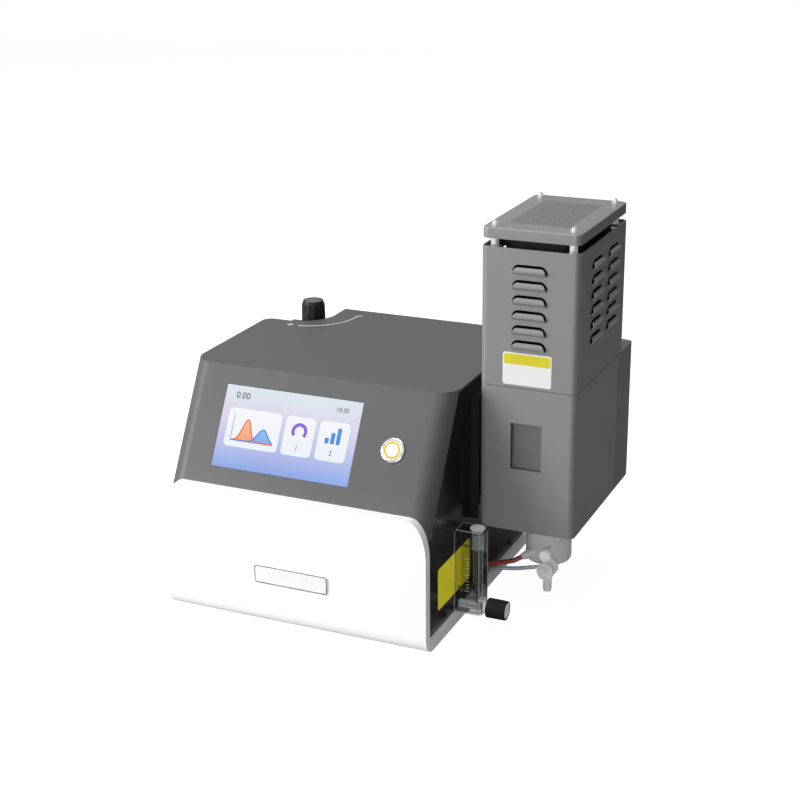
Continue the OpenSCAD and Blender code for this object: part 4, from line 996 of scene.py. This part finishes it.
class PHOTOMETER_OT_window(bpy.types.Operator):
    """Line the edge of the inspection window's opening with a dark ribbon: painted shade where its
    inner walls lie in shade
    """

    bl_idname = "photometer.window"
    bl_label = "Window gasket"

    def execute(self, context):
        glass = in_case("window_glass")[0][1]
        middle = middle_of("window_glass")[[0, 2]]
        # of the housing's opening, and of the painted shade ribbon
        opening, width = np.array([32.0, 49.0]), 1.1
        half = (opening - width) / 2
        path = rounded(*(middle - half), *(middle + half), 0.6)
        painted_edge_shade = Shell().ribbon(path, width, on_front(glass), 0.02, 0.6, closed=True)
        # painted shade: a dark finish on the ribbon where the opening's inner walls fall in shade
        rubber = finish("window gasket", linear(52, 52, 53), 0.5, 0.08, 120, 1600, 0.006)
        build("window_painted_edge_shade", painted_edge_shade, rubber, slot="black_plastic")
        return {"FINISHED"}


# ---------- chimney cap ----------


class PHOTOMETER_OT_cap(bpy.types.Operator):
    """Fold the chimney's cap and perforate it finely"""

    bl_idname = "photometer.cap"
    bl_label = "Perforated cap"

    def execute(self, context):
        look = context.scene.photometer_chimney
        low, high = in_case("cap_plate")
        pitch, hole, edge = look.hole_pitch / MM, look.hole / MM, look.cap_edge / MM
        sheet, corner = 1.5, 7.0
        middle, half = (low[:2] + high[:2]) / 2, (high[:2] - low[:2]) / 2
        perforated = (61.5, 103.0)
        counts = [int(round(reach / pitch)) for reach in perforated]
        field = np.array(counts) * pitch / 2
        top, under = high[2], high[2] - sheet

        # one cell: its square border and the hole, as eight points each
        turn = np.arange(8) * math.pi / 4
        star = np.stack([np.cos(turn), np.sin(turn)], -1)
        border = star / np.abs(star).max(1)[:, None] * pitch / 2
        hole_ring = star * hole / 2
        steps = np.meshgrid(*(np.arange(n) for n in counts), indexing="ij")
        centres = np.stack(steps, -1).reshape(-1, 2) * pitch + middle - field + pitch / 2
        levels = ((border, top), (hole_ring, top), (hole_ring, under), (border, under))
        cells = np.stack([
            at(*(centres[:, None] + ring).transpose(2, 0, 1), z) for ring, z in levels
        ], 1)
        shell = Shell()
        for cell in cells:
            shell.grid(cell, wrap_cols=True)

        # the folded rim: a quarter of the outline, a side and a bend, turned four times
        along = [np.arange(-n, n + 1) * pitch / 2 for n in counts]
        turn = np.linspace(0, math.pi / 2, 9)[1:-1]
        bend = np.stack([np.cos(turn), np.sin(turn)], -1) * corner
        outline = []
        for c, s in ((1, 0), (0, 1), (-1, 0), (0, -1)):
            x, y = half if c else half[::-1]
            span = np.concatenate([[corner - y], along[1 if c else 0], [y - corner]])
            side = np.stack([np.full(len(span), x), span], -1)
            quarter = np.concatenate([side, bend + [x - corner, y - corner]])
            outline.append(quarter @ np.array([[c, s], [-s, c]]))
        outline = np.concatenate(outline)
        inner = np.clip(outline, -field, field)

        def inset(distance):
            """The outline moved inwards by a distance, square to itself."""
            centre = np.clip(outline, -(half - corner), half - corner)
            return centre + (outline - centre) * (1 - distance / corner)

        rings = [(inner, top)]
        for a in np.linspace(0, math.pi / 2, 6):
            rings.append((inset(edge * (1 - math.sin(a))), top - edge * (1 - math.cos(a))))
        rings += [(inset(0), low[2] + 0.15), (inset(0.15), low[2]), (inset(sheet - 0.1), low[2]),
                  (inset(sheet), low[2] + 0.1), (inset(sheet), under), (inner, under)]
        points = np.stack([at(*(ring + middle).T, z) for ring, z in rings])
        shell.grid(points, wrap_cols=True)
        build("cap_perforated", shell, worn("burner_housing"), slot="dark_coat",
              replaces=("cap_plate",), crease=30)

        # painted shade: a dark sheet inside the shield, clear of its studs, from the cap down past
        # the louvers, where the chimney's inside lies in shade
        wall_low, wall_high = in_case("heat_shield")
        clear, drop = 21.2, 118.0
        path = rounded(*(wall_low[:2] + clear), *(wall_high[:2] - clear), 5.0)
        painted_shade_liner = Shell().ribbon(path, 0.8, at, wall_high[2] - drop, under - 0.4, closed=True)
        painted_shade_coat = finish("liner coat", linear(34, 34, 35), 0.6, 0.1, 40, 900, 0.006, specular=0.2)
        build("shield_painted_shade_liner", painted_shade_liner, painted_shade_coat, slot="black_coat")
        return {"FINISHED"}


# ---------- hoses ----------


def smooth_path(points, steps):
    """Catmull-Rom curve through the points, with steps for each stretch."""
    padded = np.concatenate([points[:1], points, points[-1:]])
    t = np.linspace(0, 1, steps, endpoint=False)[:, None]
    parts = [
        0.5 * (2 * b + (c - a) * t + (2 * a - 5 * b + 4 * c - d) * t * t
               + (3 * b - a - 3 * c + d) * t ** 3)
        for a, b, c, d in zip(padded[:-3], padded[1:-2], padded[2:-1], padded[3:])
    ]
    return np.concatenate(parts + [points[-1:]])


def hose(path, outer, bore, sides=28):
    """A hollow hose: rings at right angles to the path, outside, round the
    end, back inside and round the other end."""
    step = np.gradient(path, axis=0)
    step /= np.linalg.norm(step, axis=1)[:, None]
    first = np.cross(step, [0.0, 0.0, 1.0])
    first /= np.linalg.norm(first, axis=1)[:, None]
    second = np.cross(first, step)
    turn = (np.arange(sides) * FULL_TURN / sides)[None, :, None]
    circles = np.cos(turn) * first[:, None] + np.sin(turn) * second[:, None]
    outside, inside = [path[:, None] + radius * circles for radius in (outer, bore)]
    points = np.concatenate([outside, inside[::-1]])
    return Shell().grid(points * MM + CASE, wrap_rows=True, wrap_cols=True)


class PHOTOMETER_OT_hoses(bpy.types.Operator):
    """Run the red gas hose and the clear air hose to the mixing chamber"""

    bl_idname = "photometer.hoses"
    bl_label = "Hoses"

    def execute(self, context):
        look = context.scene.photometer_burner
        # the gas hose ends on the chamber's spigot, which points out and down from its wall
        chamber, radius, spigot = np.array([356.5, 182, 55.5]), 21, 15
        turn, dip, root_turn = np.radians([212, 22, 245])
        out = np.array([np.cos(turn) * np.cos(dip), np.sin(turn) * np.cos(dip), -np.sin(dip)])
        root = chamber + radius * np.array([np.cos(root_turn), np.sin(root_turn), 0])
        gas_end = root + spigot * out
        air_end = np.array([357.5, 150.0, 44.3])
        # both hoses start in the case's wall
        gas_from, air_from = np.array([288, 144, 37.5]), np.array([288, 159, 28.4])
        gas = np.concatenate([
            gas_from + [[6, 0, 0], [8.5, 0, 0], [13, 1.7, 1.5], [20, 4, 3.1], [30, 5.6, 5.7]],
            gas_end + np.outer([9, 4, 0], out),
        ])
        air = np.concatenate([
            air_from + [[6, 0, 0], [8.5, 0, 0], [13, -1.3, 1.8], [20, -4, 4.4], [31, -7, 7.2]],
            air_end + [[-26.5, 0.5, -6.1], [-13.5, 0, -2.7], [-4, 0, -0.1], [-0.15, 0, 0]],
        ])
        rubber = finish("gas hose rubber", look.gas_hose, 0.3, 0.08, 140, 900, 0.01, coat=0.25,
                        soft=0.1)
        clear = finish("air hose plastic", look.air_hose, 0.14, 0.03, 140, 500, 0.004,
                       transmission=0.75, ior=1.4)
        runs = (("gas_hose", gas, 2.6, 1.3, rubber, "red_hose"),
                ("air_hose", air, 2.1, 1.15, clear, "clear_hose"))
        for node, points, outer, bore, material, slot in runs:
            tube = hose(smooth_path(points, look.hose_steps), outer, bore)
            build(node + "_tube", tube, material, slot=slot, replaces=(node,))
        return {"FINISHED"}


# ---------- screws ----------


def hex_pocket(rows):
    """Radius factor that turns the given rows into a hexagon."""
    def factor(angle, row):
        part = np.mod(angle, math.pi / 3) - math.pi / 6
        flat = math.cos(math.pi / 6) / np.cos(part)
        return np.where((row >= rows[0]) & (row <= rows[1]), flat, 1.0)
    return factor


class PHOTOMETER_OT_screws(bpy.types.Operator):
    """Turn the case's button-head screws with their hexagon sockets"""

    bl_idname = "photometer.screws"
    bl_label = "Case screws"

    def execute(self, context):
        left = in_case("side_panel_left")[0][0]
        back = in_case("rear_panel")[1][1]
        # place, direction and shank of each screw: sides, underside and back
        spots = []
        for y in (60, 150, 250):
            spots += [((SIDE_X, y, 18), (1, 0, 0), 6.0), ((left, y, 18), (-1, 0, 0), 6.0)]
        for x in (18, 275):
            spots += [((x, y, 7), (0, 0, -1), 6.5) for y in (96, 219)]
        spots += [((x, back, 22), (0, 1, 0), 6.0) for x in (14, 279)]
        shell = Shell()
        turn = np.linspace(0, math.pi / 2, 5)
        crown = np.stack([1.9 + 1.1 * np.cos(turn), 0.7 + 1.2 * np.sin(turn)], -1)
        for centre, axis, shank in spots:
            profile = np.concatenate([
                [[0, -shank], [1.2, -shank], [1.5, -shank + 0.3], [1.5, 0], [3.0, 0]], crown,
                [[1.35, 1.9], [1.35, 0.8], [0, 0.8]],
            ])
            shell.lathe(profile, around(centre, axis), 24, hex_pocket((10, 11)))
        dark = finish("blackened screw steel", linear(44, 44, 46), 0.3, 0.1, 300, 1600, 0.005,
                      metal=0.7)
        build("case_screws_turned", shell, dark, slot="screw_steel", replaces=("case_screws",))
        return {"FINISHED"}


# ---------- prints ----------


class PHOTOMETER_OT_prints(bpy.types.Operator):
    """Print the gas scale's arc and signs, and the marks of the rocker"""

    bl_idname = "photometer.prints"
    bl_label = "Prints and label bands"

    def execute(self, context):
        look = context.scene.photometer_console
        x, y, _ = middle_of("gas_knob")
        ink = finish("white print", look.print_white, 0.5, 0.05, 200, 2400, 0.004)
        film = on_top, 0.0, 0.06
        # the scale's arc round the knob, its short end mark and the plus sign
        marks = Shell()
        marks.ribbon(ring_path(x, y, 53.4, -81.5, 5.0, 60), 1.5, *film)
        marks.ribbon(np.array([[92.0, 277.9], [98.2, 278.4]]), 1.5, *film)
        cross = np.array([
            [3.6, -0.8], [3.6, 0.8], [0.8, 0.8], [0.8, 3.6], [-0.8, 3.6], [-0.8, 0.8],
            [-3.6, 0.8], [-3.6, -0.8], [-0.8, -0.8], [-0.8, -3.6], [0.8, -3.6], [0.8, -0.8],
        ])
        marks.prism(cross + (36.8, 220.3), *film)
        build("gas_scale_print", marks, ink, slot="dark_coat")

        middle = middle_of("power_rocker")[0]
        place = on_back(in_case("power_rocker")[1][1] - 0.6)
        signs = Shell()
        signs.ribbon(np.array([[middle, 70.5], [middle, 74.0]]), 0.8, place, -0.2, 0.1)
        signs.ribbon(circle(middle, 62.6, 1.7, 40), 0.7, place, -1.2, -0.4, closed=True)
        build("rocker_print", signs, ink, body="mains_rocker", slot="gloss_black")

        (x0, y0, z0), (x1, _, z1) = in_case("nameplate")
        path = rounded(x0 + 0.6, z0 + 0.6, x1 - 0.6, z1 - 0.6, 2.6)
        rim = Shell().ribbon(path, 0.9, on_front(y0), -0.3, 0.0, closed=True)
        metal = finish("plate rim", linear(208, 210, 213), 0.28, 0.04, 120, 1200, 0.003, metal=0.6)
        build("nameplate_rim", rim, metal, slot="collar_chrome")

        (x0, y0, _), (x1, _, z1) = in_case("shield_label")
        outline = rounded(x0 + 1.2, z1 - 12, x1 - 1.2, z1 - 1.4, 1.4)
        band = Shell().prism(outline, on_front(y0), -0.05, 0.03)
        yellow = finish("label band", linear(226, 212, 44), 0.34, 0.03, 45, 900, 0.004)
        build("shield_label_band", band, yellow, slot="yellow_film")
        return {"FINISHED"}


# ---------- inlet pins ----------


class PHOTOMETER_OT_pins(bpy.types.Operator):
    """Plate the three flat pins of the mains inlet"""

    bl_idname = "photometer.pins"
    bl_label = "Mains inlet pins"

    def execute(self, context):
        low, high = in_case("iec_inlet")
        place = on_back(high[1] - 1.4)
        shell = Shell()
        # each pin from its place in the inlet's box, with a narrower tip
        for px, pz in ((6.6, 9.5), (12.7, 13.5), (18.8, 9.5)):
            x, z = low[0] + 2 + px, low[2] + 2 + pz
            outline = rounded(x - 0.06, z - 0.06, x + 2.06, z + 4.06, 0.5, 4)
            centre = outline.mean(0)
            tip = centre + (outline - centre) * 0.7
            rings = [(outline, -16.9), (outline, -8.6), (tip, -7.9)]
            points = np.stack([place(*p.T, w) for p, w in rings])
            shell.grid(points, wrap_cols=True)
            shell.face(points[0][::-1])
            shell.face(points[-1])
        material = finish("plated pins", linear(214, 214, 216), 0.2, 0.04, 200, 1500, 0.003,
                          metal=1)
        build("inlet_pins", shell, material, slot="screw_steel")
        return {"FINISHED"}


# ---------- stage ----------


def seen_rays(tree, rays):
    """1 where the camera sees a thing, also through glass, but not where a
    glossy surface mirrors it."""
    plain = add(tree, "Math", {1: 0.5}, operation="LESS_THAN")
    through = add(tree, "Math", operation="MULTIPLY")
    either = add(tree, "Math", operation="MAXIMUM")
    wire(tree, (rays, "Glossy Depth", plain, 0), (rays, "Is Transmission Ray", through, 0),
         (plain, 0, through, 1), (rays, "Is Camera Ray", either, 0), (through, 0, either, 1))
    return either


def floor_material():
    """Pale floor: rough for every ray, and nearly white for the camera, so
    that only the object's shadow shows on it."""
    material = bpy.data.materials.new("pale floor")
    material.use_nodes = True
    tree = material.node_tree
    tree.nodes.clear()
    out = add(tree, "OutputMaterial")
    pale = add(tree, "BsdfDiffuse", {"Color": (0.38, 0.38, 0.38, 1)})
    seen = add(tree, "BsdfDiffuse", {"Color": (0.5, 0.5, 0.5, 1)})
    white = add(tree, "Emission", {"Strength": 0.93})
    both, choice = add(tree, "AddShader"), add(tree, "MixShader")
    view = seen_rays(tree, add(tree, "LightPath"))
    wire(tree, (seen, "BSDF", both, 0), (white, "Emission", both, 1), (view, 0, choice, "Fac"),
         (pale, "BSDF", choice, 1), (both, "Shader", choice, 2),
         (choice, "Shader", out, "Surface"))
    return material


def room(look):
    """The room's light: white to the camera, even on rough surfaces, and in
    mirrors brighter towards the key light than on the other side."""
    world = bpy.context.scene.world or bpy.data.worlds.new("room")
    bpy.context.scene.world = world
    world.use_nodes = True
    tree = world.node_tree
    tree.nodes.clear()
    out = add(tree, "OutputWorld")
    white, mirror, even = [
        add(tree, "Background", {"Color": (1, 1, 1, 1), "Strength": level})
        for level in (1.0, look.mirror, look.ambient)
    ]
    way = add(tree, "TexCoord")
    facing = add(tree, "VectorMath", {1: (-0.74, -0.38, 0.55)}, operation="DOT_PRODUCT")
    fade = add(tree, "MapRange", {
        "From Min": -0.45, "From Max": 0.7, "To Min": look.mirror_low, "To Max": look.mirror,
    })
    rays = add(tree, "LightPath")
    mirrored = add(tree, "Math", operation="MAXIMUM")
    inner, outer = add(tree, "MixShader"), add(tree, "MixShader")
    view = seen_rays(tree, rays)
    wire(tree, (way, "Generated", facing, 0), (facing, "Value", fade, "Value"),
         (fade, "Result", mirror, "Strength"), (rays, "Is Glossy Ray", mirrored, 0),
         (rays, "Is Transmission Ray", mirrored, 1), (mirrored, 0, inner, "Fac"),
         (even, "Background", inner, 1), (mirror, "Background", inner, 2),
         (view, 0, outer, "Fac"), (inner, "Shader", outer, 1), (white, "Background", outer, 2),
         (outer, "Shader", out, "Surface"))


def softbox(name, power, size, spot, target):
    """A square area light at spot that faces target, both in metres."""
    data = bpy.data.lights.new(name, "AREA")
    data.energy = power
    data.size = size
    obj = bpy.data.objects.new(name, data)
    bpy.context.scene.collection.objects.link(obj)
    obj.location = spot
    obj.rotation_euler = (Vector(target) - Vector(spot)).to_track_quat("-Z", "Y").to_euler()
    return obj


class PHOTOMETER_OT_stage(bpy.types.Operator):
    """Set the floor, the room, four soft lights and the camera"""

    bl_idname = "photometer.stage"
    bl_label = "Stage"

    def execute(self, context):
        scene = context.scene
        look = scene.photometer_stage
        ground, side = cad_bounds[0][2], 4.0
        corners = [(-side, -side, ground), (side, -side, ground),
                   (side, side, ground), (-side, side, ground)]
        mesh = bpy.data.meshes.new("floor")
        mesh.from_pydata(corners, [], [(0, 1, 2, 3)])
        mesh.materials.append(floor_material())
        floor = bpy.data.objects.new("floor", mesh)
        scene.collection.objects.link(floor)
        room(look)
        softbox("key light", look.key, 1.1, (-1.85, -1.55, 0.8), (0.0, 0.0, 0.2))
        softbox("fill light", look.fill, 1.0, (0.5, -2.3, 0.22), (0.1, 0.0, 0.15))
        softbox("top light", look.top, 1.4, (-0.2, -0.3, 2.0), (0.0, 0.0, 0.2))
        softbox("side light", look.side, 1.0, (1.85, -0.35, 0.5), (0.1, 0.0, 0.15))

        camera_data = bpy.data.cameras.new("camera")
        camera_data.sensor_fit = "HORIZONTAL"
        camera_data.sensor_width = 36.0
        camera_data.lens = look.lens
        camera_data.clip_end = 20.0
        camera = bpy.data.objects.new("camera", camera_data)
        scene.collection.objects.link(camera)
        right = Vector((0.9146, 0.4041, -0.0093)).normalized()
        ahead = Vector((-0.3835, 0.8603, -0.3358)).normalized()
        up = right.cross(ahead).normalized()
        right = ahead.cross(up).normalized()
        turn = Matrix((right, up, -ahead)).transposed().to_4x4()
        camera.matrix_world = Matrix.Translation(Vector(at(843.5, -1292.0, 770.6))) @ turn
        scene.camera = camera
        scene.view_settings.view_transform = "Standard"
        return {"FINISHED"}


OPERATORS = (
    PHOTOMETER_OT_stage,
    PHOTOMETER_OT_finishes,
    PHOTOMETER_OT_screen,
    PHOTOMETER_OT_button,
    PHOTOMETER_OT_gas_knob,
    PHOTOMETER_OT_valve_knob,
    PHOTOMETER_OT_flow_meter,
    PHOTOMETER_OT_window,
    PHOTOMETER_OT_cap,
    PHOTOMETER_OT_hoses,
    PHOTOMETER_OT_screws,
    PHOTOMETER_OT_prints,
    PHOTOMETER_OT_pins,
)


class PHOTOMETER_PT_pieces(bpy.types.Panel):
    """Sizes, colours and pieces of the photometer"""

    bl_idname = "PHOTOMETER_PT_pieces"
    bl_label = "Photometer"
    bl_space_type = "VIEW_3D"
    bl_region_type = "UI"
    bl_category = "Photometer"

    def draw(self, context):
        for name, group in GROUPS.items():
            box = self.layout.box()
            for prop in group.__annotations__:
                box.prop(getattr(context.scene, name), prop)
        for operator in OPERATORS:
            self.layout.operator(operator.bl_idname)


def register():
    for cls in (*GROUPS.values(), *OPERATORS, PHOTOMETER_PT_pieces):
        bpy.utils.register_class(cls)
    for name, group in GROUPS.items():
        setattr(bpy.types.Scene, name, PointerProperty(type=group))


def unregister():
    for name in GROUPS:
        delattr(bpy.types.Scene, name)
    for cls in (PHOTOMETER_PT_pieces, *reversed(OPERATORS), *reversed(list(GROUPS.values()))):
        bpy.utils.unregister_class(cls)


def main():
    register()
    for operator in OPERATORS:
        group, name = operator.bl_idname.split(".")
        getattr(getattr(bpy.ops, group), name)()


if __name__ == "__main__":
    main()
